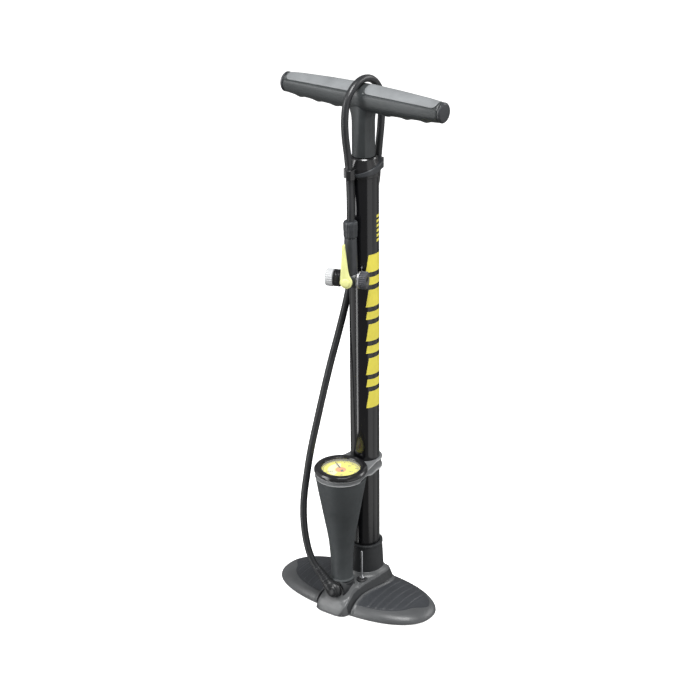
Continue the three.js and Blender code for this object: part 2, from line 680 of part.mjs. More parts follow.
function gaugeMovement(group) {
  const pointer = new THREE.Shape([
    new THREE.Vector2(-2.2, -6), new THREE.Vector2(2.2, -6), new THREE.Vector2(1.3, 0),
    new THREE.Vector2(0.35, 19), new THREE.Vector2(-0.35, 19), new THREE.Vector2(-1.3, 0),
  ]);
  const hub = rod(3.2, DIAL_FOOT_Z + 2, DIAL_FOOT_Z + 4, 16);
  const arbor = rod(1.3, GEAR_Z - 2.4, DIAL_FOOT_Z + 2.6, 8);
  const pinion = rod(PINION_R, GEAR_Z - 0.4, GEAR_Z + 2.6, 12);
  const hand = extruded(pointer, DIAL_FOOT_Z + 2.2, DIAL_FOOT_Z + 3.1).rotateZ(radians(POINTER_REST));
  place('gauge_pointer', shaped([hub, hand, arbor, pinion]), RUBBER, group);

  const spread = radians(SECTOR_SPREAD);
  const sector = new THREE.Shape();
  sector.moveTo(0, 0);
  sector.lineTo(GEAR_R * Math.cos(spread), -GEAR_R * Math.sin(spread));
  sector.absarc(0, 0, GEAR_R, -spread, spread, false);
  const plate = extruded(sector, GEAR_Z, GEAR_Z + 2).rotateZ(radians(SECTOR_REST));
  const shaft = rod(2.2, GEAR_Z - 1.8, GEAR_Z + 4, 12);
  place('gauge_sector_gear', shaped([plate, shaft]).translate(SECTOR_X, 0, 0), BRASS, group);

  const reach = radians(BOURDON_END);
  const bourdon = new THREE.Shape();
  bourdon.absarc(0, 0, 21.6, -reach, reach, false);
  bourdon.absarc(0, 0, 19.2, reach, -reach, true);
  place('bourdon_tube', extruded(bourdon, CASE_FOOT_Z + 4, CASE_FOOT_Z + 15, 16), BRASS, group);
}

function gauge() {
  const group = new THREE.Group();
  group.position.set(0, TOWER_Y, 0);
  pump.add(group);
  gaugeCase(group);
  gaugeMovement(group);
}

// ---- Hose swivel on the foot ----

const DRUM_START = 1.8; // in front of the boss's face
const DRUM_END = 6.6;
const ELBOW_R = 6.6;

function swivel() {
  const group = new THREE.Group();
  group.position.set(0, 0, SWIVEL_Z);
  pump.add(group);
  const front = -SWIVEL_FACE_Y;
  const seal = tube(SWIVEL_BOLT_R + 0.8, SWIVEL_BOSS_R - 0.4, front + GAP, front + DRUM_START - GAP, 24);
  place('swivel_seal', alongFront(seal), RUBBER, group);

  const centre = [0, -front - (DRUM_START + DRUM_END) / 2, 0];
  const drum = alongFront(turned([
    [0, front + DRUM_START], [SWIVEL_R, front + DRUM_START], [SWIVEL_R, front + DRUM_END - 1],
    [SWIVEL_R - 1, front + DRUM_END], [0, front + DRUM_END],
  ], 32));
  const arm = aimed(rod(ELBOW_R, 8.6, RELIEF_START - GAP, 24), HOSE_EXIT_DIRECTION, centre);
  const bore = alongFront(rod(SWIVEL_BOLT_R + GAP, front, front + DRUM_END + THROUGH, 20));
  const trim = alongFront(rod(12, front - 4, front + DRUM_START, 32));
  place('hose_swivel', shaped([drum, arm], [bore, trim]), BLACK_GLOSS, group);

  const headStart = front + DRUM_END + GAP;
  place('swivel_bolt', alongFront(turned([
    [0, front - 10], [SWIVEL_BOLT_R, front - 10], [SWIVEL_BOLT_R, headStart], [8, headStart],
    [7.6, headStart + 1.7], [4, headStart + 2.5], [0, headStart + 2.6],
  ], 24)), BLACK_GLOSS, group);

  const relief = turned([
    [0, RELIEF_START], [ELBOW_R, RELIEF_START], [ELBOW_R - 0.4, RELIEF_START + 6],
    [HOSE_R + 0.7, RELIEF_END], [0, RELIEF_END],
  ], 20);
  place('hose_strain_relief', aimed(relief, HOSE_EXIT_DIRECTION, centre), RUBBER, group);
}

// ---- Hose ----

function hose() {
  const points = HOSE_ROUTE.map((point) => new THREE.Vector3(...point));
  const curve = new THREE.CatmullRomCurve3(points, false, 'centripetal');
  place('hose', tubeAlong(curve, HOSE_R, 8, 76), RUBBER);
}

// ---- Chuck ----

const PORT_R = 10.7;

// A knurled cap nut about X, from its mouth on the body to its outer face.
function portNut(mouth, face, bodyR, holeR) {
  const way = Math.sign(face - mouth);
  return alongX(turned([
    [bodyR, mouth], [PORT_R, mouth], [PORT_R, face - way * 0.8], [PORT_R - 0.8, face],
    [holeR, face], [holeR, face - way * 1.9], [bodyR, face - way * 1.9],
  ], 20));
}

const LEVER_PIVOT_X = -2;
const LEVER_PIVOT_Z = 0.5;
const LEVER_DISC_R = 7.4;
const LEVER_BACK = 11.2; // in front of the chuck's axis
const LEVER_FRONT = 15;
const LEVER_TIP = { x: -2.8, z: 46, r: 1.7 };
const PIVOT_HOLE_R = 2;
const NECK_R = 7.8;
const LEFT_SPIGOT_R = 8;
const RIGHT_SPIGOT_R = 7;
const SHUTTLE_BORE_R = 3.5;
const SHUTTLE_END_LEFT = -22.2;
const SHUTTLE_END_RIGHT = 13.2;
const HOSE_BORE_R = 2.2;

function leverShape() {
  const shape = new THREE.Shape();
  shape.moveTo(-4.6, LEVER_TIP.z - 1);
  shape.lineTo(-6.9, 2.6);
  shape.absarc(0, 0, LEVER_DISC_R, radians(159), radians(385), false);
  shape.lineTo(LEVER_TIP.x + LEVER_TIP.r, LEVER_TIP.z);
  shape.absarc(LEVER_TIP.x, LEVER_TIP.z, LEVER_TIP.r, 0, radians(190), false);
  const hole = new THREE.Path();
  hole.absarc(0, 0, PIVOT_HOLE_R, 0, 2 * Math.PI, true);
  shape.holes.push(hole);
  return shape;
}

function chuckBody() {
  const neck = turned([
    [0, -8], [NECK_R, -8], [NECK_R, 20], [NECK_R - 0.4, CHUCK_NECK_TOP], [0, CHUCK_NECK_TOP],
  ], 20);
  const head = alongX(rod(9.3, -11.2, 7.9, 24));
  const leftSpigot = alongX(rod(LEFT_SPIGOT_R, -24, -10, 20));
  const rightSpigot = alongX(rod(RIGHT_SPIGOT_R, 3, 15, 20));
  const boss = alongFront(rod(6.6, 4, LEVER_BACK - GAP, 20)).translate(LEVER_PIVOT_X, 0, LEVER_PIVOT_Z);
  const cuts = [
    alongX(rod(SHUTTLE_BORE_R, -30, 30, 12)),
    alongX(rod(4.6, -30, -14, 12)),
    rod(HOSE_BORE_R, 3, CHUCK_NECK_TOP + THROUGH, 12),
    alongFront(rod(PIVOT_HOLE_R, 5.5, 20, 16)).translate(LEVER_PIVOT_X, 0, LEVER_PIVOT_Z),
  ];
  return shaped([neck, head, leftSpigot, rightSpigot, boss], cuts);
}

function ports(group) {
  const leftBore = LEFT_SPIGOT_R + GAP;
  const rightBore = RIGHT_SPIGOT_R + GAP;
  place('port_ring_left', alongX(tube(leftBore, PORT_R - 0.3, -20.1, -11.5, 24)), BLACK_GLOSS, group);
  place('port_nut_left', portNut(-20.4, -29.6, leftBore, 4.4), PALE_GREY, group);
  place('port_gasket_left', alongX(tube(4.2, leftBore - 0.4, -27.3, -24.3, 16)), RUBBER, group);
  place('port_ring_right', alongX(tube(rightBore, PORT_R - 0.5, 8.2, 11.8, 24)), STEEL, group);
  place('port_nut_right', portNut(12.1, 20.4, rightBore, 3.8), COVER_GREY, group);
  place('port_gasket_right', alongX(tube(3.6, rightBore - 0.4, 15.3, 18.1, 16)), RUBBER, group);
  const shuttle = tube(1.6, SHUTTLE_BORE_R - 0.5, SHUTTLE_END_LEFT, SHUTTLE_END_RIGHT, 10);
  place('chuck_shuttle', alongX(shuttle), BRASS, group);
}

function chuck() {
  const group = new THREE.Group();
  group.position.set(CHUCK_X, CHUCK_Y, CHUCK_Z);
  group.rotation.z = radians(CHUCK_TURN);
  pump.add(group);

  place('chuck_body', chuckBody(), BLACK_GLOSS, group);
  const collarFoot = CHUCK_NECK_TOP + GAP;
  place('chuck_collar', turned([
    [HOSE_BORE_R, collarFoot], [8, collarFoot], [8.3, collarFoot + 4.7], [8.3, CHUCK_COLLAR_TOP - 2],
    [7, CHUCK_COLLAR_TOP], [HOSE_BORE_R, CHUCK_COLLAR_TOP],
  ], 16), BLACK_GLOSS, group);
  ports(group);

  const lever = extruded(leverShape(), LEVER_BACK, LEVER_FRONT, 10).rotateX(Math.PI / 2);
  place('chuck_lever', lever.translate(LEVER_PIVOT_X, 0, LEVER_PIVOT_Z), LIME, group);
  const pinR = PIVOT_HOLE_R - GAP;
  const head = LEVER_FRONT + GAP;
  const pin = turned([
    [0, 5.8], [pinR, 5.8], [pinR, head], [3.6, head], [2.8, head + 1], [0, head + 1.3],
  ], 16);
  place('lever_pin', alongFront(pin).translate(LEVER_PIVOT_X, 0, LEVER_PIVOT_Z), LIME, group);
}

// ---- Ball needle ----

function ballNeedle() {
  const group = new THREE.Group();
  group.position.set(NEEDLE_X, NEEDLE_Y, 0);
  pump.add(group);
  const seat = SPINE_DECK_Z;
  const grommet = tube(NEEDLE_FOOT_R + 0.7, GROMMET_R, seat - GROMMET_DEPTH, seat + 0.4, 20);
  place('needle_grommet', grommet, RUBBER, group);
  place('ball_needle', turned([
    [0, seat - 7], [NEEDLE_FOOT_R, seat - 7], [NEEDLE_FOOT_R, seat + 0.7], [3.4, seat + 0.7],
    [3.4, seat + 3], [NEEDLE_R, seat + 6], [NEEDLE_R, NEEDLE_TIP_Z - 1.8],
    [NEEDLE_R / 2, NEEDLE_TIP_Z - 0.4], [0, NEEDLE_TIP_Z],
  ], 16), STEEL, group);
}

foot();
footPads();
barrel();
footValve();
plunger();
handle();
cap();
gaugeTower();
gaugeBracket();
gauge();
swivel();
hose();
chuck();
ballNeedle();

export default pump;
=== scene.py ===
"""Visual model of a floor bicycle pump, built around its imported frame.

Shapes are worked out in millimetres, in the frame's own axes, and are scaled to metres where meshes are made.
"""

from math import asin, cos, exp, hypot, pi, radians, sin, sqrt, tan

import bmesh
import bpy
from mathutils import Matrix, Quaternion, Vector


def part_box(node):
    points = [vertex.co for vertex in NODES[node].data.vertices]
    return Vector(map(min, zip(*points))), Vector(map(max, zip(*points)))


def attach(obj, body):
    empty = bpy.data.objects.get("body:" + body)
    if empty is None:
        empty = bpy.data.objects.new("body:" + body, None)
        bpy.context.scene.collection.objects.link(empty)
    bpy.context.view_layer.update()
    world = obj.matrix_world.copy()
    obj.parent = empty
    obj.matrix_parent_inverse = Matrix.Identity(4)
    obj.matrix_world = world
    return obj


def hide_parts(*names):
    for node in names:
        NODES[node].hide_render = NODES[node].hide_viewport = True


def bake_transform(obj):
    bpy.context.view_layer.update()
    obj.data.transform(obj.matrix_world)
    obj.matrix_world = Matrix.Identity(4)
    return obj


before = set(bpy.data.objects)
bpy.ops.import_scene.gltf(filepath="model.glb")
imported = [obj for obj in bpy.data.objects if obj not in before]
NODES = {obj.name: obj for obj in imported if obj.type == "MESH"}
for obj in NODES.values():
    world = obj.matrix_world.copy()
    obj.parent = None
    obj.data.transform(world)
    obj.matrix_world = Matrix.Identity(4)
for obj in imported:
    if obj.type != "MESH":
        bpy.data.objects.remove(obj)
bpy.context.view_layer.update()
MM = 0.001


def low_high(node):
    """The lowest and highest corners of a node, in millimetres."""
    low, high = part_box(node)
    return Vector(low) / MM, Vector(high) / MM


# ---- Driving dimensions, in millimetres ----

CAMERA_TARGET = Vector((-21.4, -0.4, 326.2))
CAMERA_DISTANCE = 2367
CAMERA_AZIMUTH = 35.78
CAMERA_ELEVATION = 24.45
CAMERA_ROLL = -0.49
CAMERA_LENS = 100.07

BARREL_LOW, BARREL_HIGH = low_high("barrel")
BARREL_R = BARREL_HIGH.x
CAP_LOW, CAP_HIGH = low_high("top_cap")
CAP_R = 19.6
HANDLE_LOW = low_high("handle_body")[0]
HANDLE_Z = 649.3
HANDLE_HALF = low_high("handle_end_cap_right")[1].x
HANDLE_MID_R = 16
HANDLE_END_R = 11.8
STEM_R = 13.7
TOWER_LOW, TOWER_HIGH = low_high("gauge_tower")
TOWER_Y = (TOWER_LOW.y + TOWER_HIGH.y) / 2
BRACKET_LOW, BRACKET_HIGH = low_high("gauge_bracket")
BEZEL_LOW, BEZEL_HIGH = low_high("gauge_bezel")
BEZEL_R = (BEZEL_HIGH.x - BEZEL_LOW.x) / 2
BASE_LOW, BASE_HIGH = low_high("base_body")
BOOT_TOP = BASE_HIGH.z
SWIVEL_Z = 29.3
SWIVEL_Y = -66.5
SWIVEL_R = 10.3
HOSE_R = 4.4
HOSE_EXIT = Vector((-0.69, -0.02, 0.724)).normalized()
CHUCK_AT = Vector((2, -30, 435))
CHUCK_TURN = radians(20)
NEEDLE_X = 13
NEEDLE_Y = -26.5
NEEDLE_TIP_Z = 69
DECK_Z = 28.6

HOSE_ROUTE = [
    (-23.9, -71.4, 54.4), (-28.3, -71.5, 59.4), (-34.4, -71.6, 70.6),
    (-39.7, -71.4, 88.5), (-43.8, -70.3, 113), (-46, -66.5, 142),
    (-46.5, -58, 176), (-45.5, -50.5, 206), (-42.5, -40.5, 243),
    (-38.8, -31.5, 279), (-34.8, -21.5, 316), (-29.8, -12, 352),
    (-25.6, -4, 384), (-23.2, 4.2, 414), (-19.6, 12.6, 446),
    (-13.4, 19.7, 479), (-6, 23.5, 512), (0.4, 25, 542),
    (2.2, 25.3, 565), (2.6, 28.2, 588), (1.4, 33.6, 611),
    (0.6, 35.6, 632), (0.3, 31.4, 651.6), (0, 18.4, 665.3),
    (0, 0, 670.3), (0, -18.4, 665.3), (-0.3, -31.4, 651.6),
    (-0.6, -35.6, 632), (-1.4, -33.8, 611), (-2.4, -28.6, 588),
    (-2.5, -25.4, 566), (-0.8, -26.2, 542), (1.7, -29.3, 522),
    (2, -30, 508.4),
]


# ---- Camera, light and floor ----


def placed(name, data):
    """A new object in the scene."""
    made = bpy.data.objects.new(name, data)
    bpy.context.scene.collection.objects.link(made)
    return made


def camera_axes():
    """The camera's right, up and forward directions."""
    azimuth = radians(CAMERA_AZIMUTH)
    elevation = radians(CAMERA_ELEVATION)
    forward = Vector((-sin(azimuth) * cos(elevation), cos(azimuth) * cos(elevation), -sin(elevation)))
    right = Vector((cos(azimuth), sin(azimuth), 0))
    roll = Quaternion(forward, -radians(CAMERA_ROLL))
    right = roll @ right
    return right, right.cross(forward), forward


def add_camera():
    right, up, forward = camera_axes()
    data = bpy.data.cameras.new("camera")
    data.lens = CAMERA_LENS
    data.sensor_width = 36
    data.clip_end = 20
    camera = placed("camera", data)
    turn = Matrix((right, up, -forward)).transposed().to_4x4()
    place = (CAMERA_TARGET - CAMERA_DISTANCE * forward) * MM
    camera.matrix_world = Matrix.Translation(place) @ turn
    bpy.context.scene.camera = camera


def add_light(name, place, target, size, power):
    data = bpy.data.lights.new(name, "AREA")
    data.shape = "RECTANGLE"
    data.size = size[0]
    data.size_y = size[1]
    data.energy = power
    light = placed(name, data)
    way = Vector(place) - Vector(target)
    light.matrix_world = Matrix.Translation(place) @ way.to_track_quat("Z", "Y").to_matrix().to_4x4()


def add_studio():
    """Lights from above, and tall ones at the sides for the highlights on upright surfaces."""
    middle = (0, 0, 0.35)
    low = (0, 0, 0.1)
    add_light("key", (-1.5, -1.7, 1.7), middle, (0.9, 1.4), 26)
    add_light("top", (0.5, -0.5, 2.2), middle, (0.9, 0.8), 44)
    add_light("back", (1.3, 2.0, 1.5), middle, (1.6, 1.0), 22)
    add_light("left_strip", (-0.62, -1.42, 0.1), low, (0.34, 2.4), 11)
    add_light("left_glow", (-1.5, -0.75, 0.1), low, (1.5, 2.4), 5)
    add_light("right_glow", (1.6, -0.25, 0.1), low, (1.2, 2.4), 7)
    add_light("side_glow", (1.4, 1.0, 0.1), low, (1.4, 2.4), 5)
    world = bpy.data.worlds.new("studio")
    world.use_nodes = True
    background = world.node_tree.nodes["Background"]
    background.inputs["Color"].default_value = (1, 1, 1, 1)
    background.inputs["Strength"].default_value = 0.2
    bpy.context.scene.world = world
    bpy.context.scene.view_settings.view_transform = "Standard"


def add_floor():
    """A pale floor. Reflections pass through it, so that upright surfaces show the tall lights."""
    bpy.ops.mesh.primitive_plane_add(size=30, location=(0, 0, 0))
    floor = bpy.context.object
    floor.name = "studio_floor"
    floor.visible_glossy = False
    floor.visible_diffuse = False
    material = new_material("studio_floor", (0.93, 0.93, 0.93), 0.9)
    shader = shader_of(material)
    shader.inputs["Emission Color"].default_value = (1, 1, 1, 1)
    shader.inputs["Emission Strength"].default_value = 0.8
    floor.data.materials.append(material)


# ---- Materials ----


class Nodes:
    """Short calls for a material's nodes."""

    def __init__(self, material):
        self.tree = material.node_tree
        self.shader = shader_of(material)
        self.place = self.tree.nodes.new("ShaderNodeTexCoord").outputs["Object"]

    def link(self, source, target):
        self.tree.links.new(source, target)

    def add(self, kind, values):
        """A new node with some of its inputs set."""
        node = self.tree.nodes.new(kind)
        for name, value in values.items():
            node.inputs[name].default_value = value
        return node

    def noise(self, scale, detail, stretch=(1, 1, 1)):
        mapping = self.add("ShaderNodeMapping", {"Scale": stretch})
        self.link(self.place, mapping.inputs["Vector"])
        node = self.add("ShaderNodeTexNoise", {"Scale": scale, "Detail": detail})
        self.link(mapping.outputs["Vector"], node.inputs["Vector"])
        return node.outputs["Fac"]

    def spread(self, value, low, high):
        """Takes the middle of a noise to the range from low to high."""
        limits = {"From Min": 0.3, "From Max": 0.7, "To Min": low, "To Max": high}
        node = self.add("ShaderNodeMapRange", limits)
        self.link(value, node.inputs["Value"])
        return node.outputs["Result"]

    def mix(self, value, low, high):
        node = self.tree.nodes.new("ShaderNodeMix")
        node.data_type = "RGBA"
        node.inputs["A"].default_value = (*low, 1)
        node.inputs["B"].default_value = (*high, 1)
        self.link(value, node.inputs["Factor"])
        return node.outputs["Result"]

    def bump(self, value, height_mm):
        node = self.add("ShaderNodeBump", {"Strength": 1, "Distance": height_mm * MM})
        self.link(value, node.inputs["Height"])
        self.link(node.outputs["Normal"], self.shader.inputs["Normal"])


def shader_of(material):
    return material.node_tree.nodes["Principled BSDF"]


def new_material(name, color, roughness, metallic=0.0):
    material = bpy.data.materials.new(name)
    material.use_nodes = True
    shader = shader_of(material)
    shader.inputs["Base Color"].default_value = (*color, 1)
    shader.inputs["Roughness"].default_value = roughness
    shader.inputs["Metallic"].default_value = metallic
    return material


def scaled(color, factor):
    return tuple(min(1, c * factor) for c in color)


def surfaced(name, color, roughness, grain, depth, vary=0.14, coat=0.0):
    """A material with a fine grain in its bump, cloudy colour and slightly uneven gloss."""
    material = new_material(name, color, roughness)
    nodes = Nodes(material)
    clouds = nodes.noise(38, 4)
    tint = nodes.mix(nodes.spread(clouds, 0, 1), scaled(color, 1 - vary), scaled(color, 1 + vary))
    nodes.link(tint, nodes.shader.inputs["Base Color"])
    gloss = nodes.spread(nodes.noise(210, 3), roughness * 0.86, roughness * 1.14)
    nodes.link(gloss, nodes.shader.inputs["Roughness"])
    nodes.bump(nodes.noise(grain, 2), depth)
    if coat:
        nodes.shader.inputs["Coat Weight"].default_value = coat
        nodes.shader.inputs["Coat Roughness"].default_value = 0.08
    return material


def brushed(name, color, roughness, stretch):
    """A metal with fine lines along one axis."""
    material = new_material(name, color, roughness, 1.0)
    nodes = Nodes(material)
    lines = nodes.noise(900, 2, stretch)
    tint = nodes.mix(nodes.spread(lines, 0, 1), scaled(color, 0.86), scaled(color, 1.08))
    nodes.link(tint, nodes.shader.inputs["Base Color"])
    nodes.link(nodes.spread(lines, roughness * 0.7, roughness * 1.4), nodes.shader.inputs["Roughness"])
    nodes.bump(lines, 0.01)
    return material


def lens_material():
    material = new_material("gauge_lens_clear", (1, 1, 1), 0.03)
    nodes = Nodes(material)
    nodes.shader.inputs["Alpha"].default_value = 0.12
    nodes.shader.inputs["Specular IOR Level"].default_value = 0.8
    smears = nodes.spread(nodes.noise(120, 3), 0.02, 0.07)
    nodes.link(smears, nodes.shader.inputs["Roughness"])
    return material


MATERIALS = {
    "foot": surfaced("foot_moulding", (0.082, 0.085, 0.088), 0.36, 2600, 0.05),
    # The deck copy is lighter than the foot: painted light on the spine's top.
    "deck": surfaced("foot_deck_painted_light", (0.108, 0.112, 0.114), 0.34, 2600, 0.05),
    # The tread copy is darker than the foot: painted shade in the recessed treaded fields.
    "tread": surfaced("foot_tread_painted_shade", (0.036, 0.039, 0.044), 0.44, 2600, 0.05),
    # The darkest copy: painted shade in the band beside the spine, and the own dark colour of the raised
    # sockets.
    "dark_socket_and_band_shade": surfaced("dark_socket_and_band_shade_moulding", (0.024, 0.026, 0.028), 0.5, 2600, 0.05),
    "tower": surfaced("tower_moulding", (0.056, 0.063, 0.066), 0.54, 2200, 0.07),
    "bracket": surfaced("bracket_moulding", (0.18, 0.185, 0.19), 0.42, 2600, 0.04),
    # A light grey that paints the highlights along the strap's two ribs.
    "rib_highlight": surfaced("rib_highlight_paint", (0.42, 0.43, 0.43), 0.4, 2600, 0.03),
    "handle": surfaced("handle_moulding", (0.042, 0.047, 0.049), 0.4, 2400, 0.05),
    "cover": surfaced("handle_cover_moulding", (0.205, 0.215, 0.222), 0.5, 1900, 0.08),
    "gloss": surfaced("black_gloss_moulding", (0.012, 0.012, 0.013), 0.2, 900, 0.012, coat=0.3),
    "satin": surfaced("black_satin_moulding", (0.02, 0.021, 0.022), 0.36, 2200, 0.04),
    "paint": surfaced("black_barrel_paint", (0.004, 0.004, 0.005), 0.16, 420, 0.008, coat=0.35),
    "rubber": surfaced("black_rubber", (0.017, 0.017, 0.018), 0.72, 2600, 0.06),
    "hose": surfaced("hose_rubber", (0.023, 0.024, 0.026), 0.34, 2600, 0.03),
    "chuck": surfaced("chuck_moulding", (0.034, 0.037, 0.041), 0.36, 2200, 0.05),
    "lever": surfaced("lime_lever", (0.95, 0.97, 0.4), 0.34, 1800, 0.03, vary=0.05),
    "pale": surfaced("pale_nut_moulding", (0.62, 0.63, 0.64), 0.46, 2200, 0.05),
    "nut": surfaced("grey_nut_moulding", (0.06, 0.062, 0.072), 0.38, 2200, 0.05),
    "dial": surfaced("dial_card_yellow", (0.95, 0.88, 0.03), 0.45, 1500, 0.01, vary=0.04),
    # A pale cream that paints the lens's reflection onto the left part of the dial.
    "dial_reflection_paint": surfaced("dial_painted_lens_reflection", (0.93, 0.9, 0.55), 0.45, 1500, 0.01, vary=0.04),
    "dial_mark": surfaced("dial_print_black", (0.02, 0.02, 0.02), 0.5, 1500, 0.01),
    "dial_hub": surfaced("dial_print_orange", (0.86, 0.3, 0.05), 0.42, 1500, 0.01, vary=0.05),
    "print": surfaced("barrel_print_yellow", (0.95, 0.83, 0.1), 0.4, 1500, 0.01, vary=0.06),
    "steel": brushed("polished_steel", (0.66, 0.67, 0.69), 0.24, (1, 1, 0.04)),
    "chrome": brushed("chromed_steel", (0.78, 0.79, 0.81), 0.1, (1, 1, 0.02)),
    "brass": brushed("machined_brass", (0.66, 0.47, 0.2), 0.3, (1, 1, 0.1)),
    "lens": lens_material(),
}

NODE_LOOKS = {
    "rubber": [
        "foot_pad_front_left", "foot_pad_front_right", "foot_pad_rear_left", "foot_pad_rear_right",
        "foot_pad_centre", "barrel_foot_seal", "check_valve_disc", "piston_cup_seal", "rod_bumper",
        "swivel_seal", "port_gasket_left", "port_gasket_right",
    ],
    "gloss": ["barrel_foot_plug", "piston_body", "gauge_case"],
    "steel": ["check_valve_spring", "piston_nut", "handle_washer", "handle_bolt", "bracket_screw"],
    "brass": [
        "air_gallery_tube", "gauge_pipe", "gauge_union_nut", "gauge_sector_gear", "bourdon_tube",
        "chuck_shuttle",
    ],
    "bracket": ["rod_guide_bush"],
    "handle": ["handle_hub_plug"],
}


def dress_nodes():
    for look, names in NODE_LOOKS.items():
        for name in names:
            data = NODES[name].data
            data.materials.clear()
            data.materials.append(MATERIALS[look])


# ---- Shapes: a shape is a list of points in millimetres and a list of faces ----


def joined(*shapes):
    points = []
    faces = []
    for shape_points, shape_faces in shapes:
        start = len(points)
        points.extend(shape_points)
        faces.extend([tuple(i + start for i in face) for face in shape_faces])
    return points, faces


def moved(shape, matrix):
    points, faces = shape
    return [matrix @ Vector(p) for p in points], faces


def shifted(shape, x=0, y=0, z=0):
    return moved(shape, Matrix.Translation((x, y, z)))


def along_front(shape):
    """Turns a shape's +Z to -Y, the way that the front faces."""
    return moved(shape, Matrix.Rotation(pi / 2, 4, "X"))


def along_x(shape):
    return moved(shape, Matrix.Rotation(pi / 2, 4, "Y"))


def aimed(shape, direction, origin):
    turn = Vector((0, 0, 1)).rotation_difference(direction).to_matrix().to_4x4()
    return moved(shape, Matrix.Translation(origin) @ turn)


def in_chuck(shape):
    """From the chuck's own axes to the frame's."""
    return moved(shape, Matrix.Translation(CHUCK_AT) @ Matrix.Rotation(CHUCK_TURN, 4, "Z"))


def rounded(profile, radius, loop=False):
    """A polyline with its corners rounded off."""
    steps = 4
    points = [Vector(p) for p in profile]
    if loop:
        points = [points[-1]] + points + [points[0]]
    result = [] if loop else [points[0]]
    for before, corner, after in zip(points, points[1:], points[2:]):
        back = before - corner
        ahead = after - corner
        bend = back.angle(ahead, pi)
        if bend > radians(170):
            result.append(corner)
            continue
        reach = min(radius / tan(bend / 2), back.length * 0.45, ahead.length * 0.45)
        start = corner + back.normalized() * reach
        end = corner + ahead.normalized() * reach
        for i in range(steps + 1):
            t = i / steps
            result.append(start * (1 - t) ** 2 + corner * 2 * t * (1 - t) + end * t**2)
    if not loop:
        result.append(points[-1])
    return result


def skinned(rows, loop=False):
    """Faces between rows of points. A row of one point is a pole."""
    points = []
    spans = []
    for row in rows:
        spans.append((len(points), len(row)))
        points.extend(row)
    faces = []
    pairs = list(zip(spans, spans[1:]))
    if loop:
        pairs.append((spans[-1], spans[0]))
    for (low, low_count), (high, high_count) in pairs:
        count = max(low_count, high_count)
        for i in range(count):
            j = (i + 1) % count
            corners = [low + i % low_count, low + j % low_count, high + j % high_count, high + i % high_count]
            face = tuple(dict.fromkeys(corners))
            if len(face) > 2:
                faces.append(face)
    return points, faces


def ring(radius, z, sides, swell=None):
    """A circle about Z. swell gives a factor on the radius at each angle."""
    if radius < 1e-6:
        return [(0, 0, z)]
    points = []
    for i in range(sides):
        angle = 2 * pi * i / sides
        r = radius * (swell(angle) if swell else 1)
        points.append((r * cos(angle), r * sin(angle), z))
    return points


def arc(radius, start, end, steps, x=0, y=0):
    """Points along a part of a circle round (x, y)."""
    points = []
    for i in range(steps + 1):
        angle = start + (end - start) * i / steps
        points.append((x + radius * cos(angle), y + radius * sin(angle)))
    return points


def turned(profile, sides, radius, loop=False, swell=None):
    """A profile of (radius, height) points, with its corners rounded, turned about Z."""
    smooth = rounded(profile, radius, loop=loop) if radius else profile
    return skinned([ring(r, z, sides, swell) for r, z in smooth], loop)


def pin_shape(radius, low, high, sides, edge):
    return turned([(0, low), (radius, low), (radius, high), (0, high)], sides, edge)


def tube_along(path, radius, sides):
    """A round tube along a path, without twist."""
    rows = [[path[0]]]
    normal = (path[1] - path[0]).orthogonal()
    last = len(path) - 1
    for i, point in enumerate(path):
        way = (path[min(i + 1, last)] - path[max(i - 1, 0)]).normalized()
        normal = (normal - way * normal.dot(way)).normalized()
        side = way.cross(normal)
        row = []
        for k in range(sides):
            angle = 2 * pi * k / sides
            row.append(point + radius * (cos(angle) * normal + sin(angle) * side))
        rows.append(row)
    rows.append([path[-1]])
    return skinned(rows)


def end_faced(rows):
    """A skin over rows of points, with a face at each end."""
    points, faces = skinned(rows)
    count = len(rows[0])
    faces.append(tuple(range(count)))
    faces.append(tuple(range(len(points) - count, len(points)))[::-1])
    return points, faces


def prism(outline, low, high, radius):
    """An outline of (x, y) points carried from one height to another, with rounded rims."""
    count = len(outline)
    steps = 4
    flat = [Vector(p) for p in outline]
    area = sum(a.x * b.y - b.x * a.y for a, b in zip(flat, flat[1:] + flat[:1]))
    if area < 0:
        flat.reverse()

    def inset(amount):
        result = []
        for i, point in enumerate(flat):
            along = (flat[(i + 1) % count] - flat[i - 1]).normalized()
            result.append(point + Vector((-along.y, along.x)) * amount)
        return result

    rows = []
    for i in range(steps + 1):
        angle = pi / 2 * i / steps
        z = low + radius * (1 - cos(angle))
        rows.append([(p.x, p.y, z) for p in inset(radius * (1 - sin(angle)))])
    rows += [[(x, y, low + high - z) for x, y, z in row] for row in rows[::-1]]
    points, faces = skinned(rows)
    faces.append(tuple(range(count))[::-1])
    faces.append(tuple(range(len(points) - count, len(points))))
    return points, faces


def smoothstep(low, high, value):
    t = min(1, max(0, (value - low) / (high - low)))
    return t * t * (3 - 2 * t)


def quarter_round(t):
    """Rises from 0 to 1 along a quarter of a circle, as t goes from 0 to 1."""
    return sqrt(max(0, t * (2 - t)))


def on_tower(shape):
    return shifted(shape, y=TOWER_Y)


# ---- Pieces ----


def piece(name, shape, look, body="root", node=None, crease=36):
    """Makes a mesh of a shape on its body, with its material. It can stand for a node of the frame."""
    points, faces = shape
    mesh = bpy.data.meshes.new(name)
    mesh.from_pydata([Vector(p) * MM for p in points], [], faces)
    mesh.validate()
    work = bmesh.new()
    work.from_mesh(mesh)
    bmesh.ops.remove_doubles(work, verts=work.verts, dist=1e-6)
    bmesh.ops.recalc_face_normals(work, faces=work.faces)
    work.to_mesh(mesh)
    work.free()
    mesh.shade_smooth()
    mesh.set_sharp_from_angle(angle=radians(crease))
    mesh.materials.append(MATERIALS[look])
    made = placed(name, mesh)
    if body:
        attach(made, body)
    if node:
        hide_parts(node)
    return made


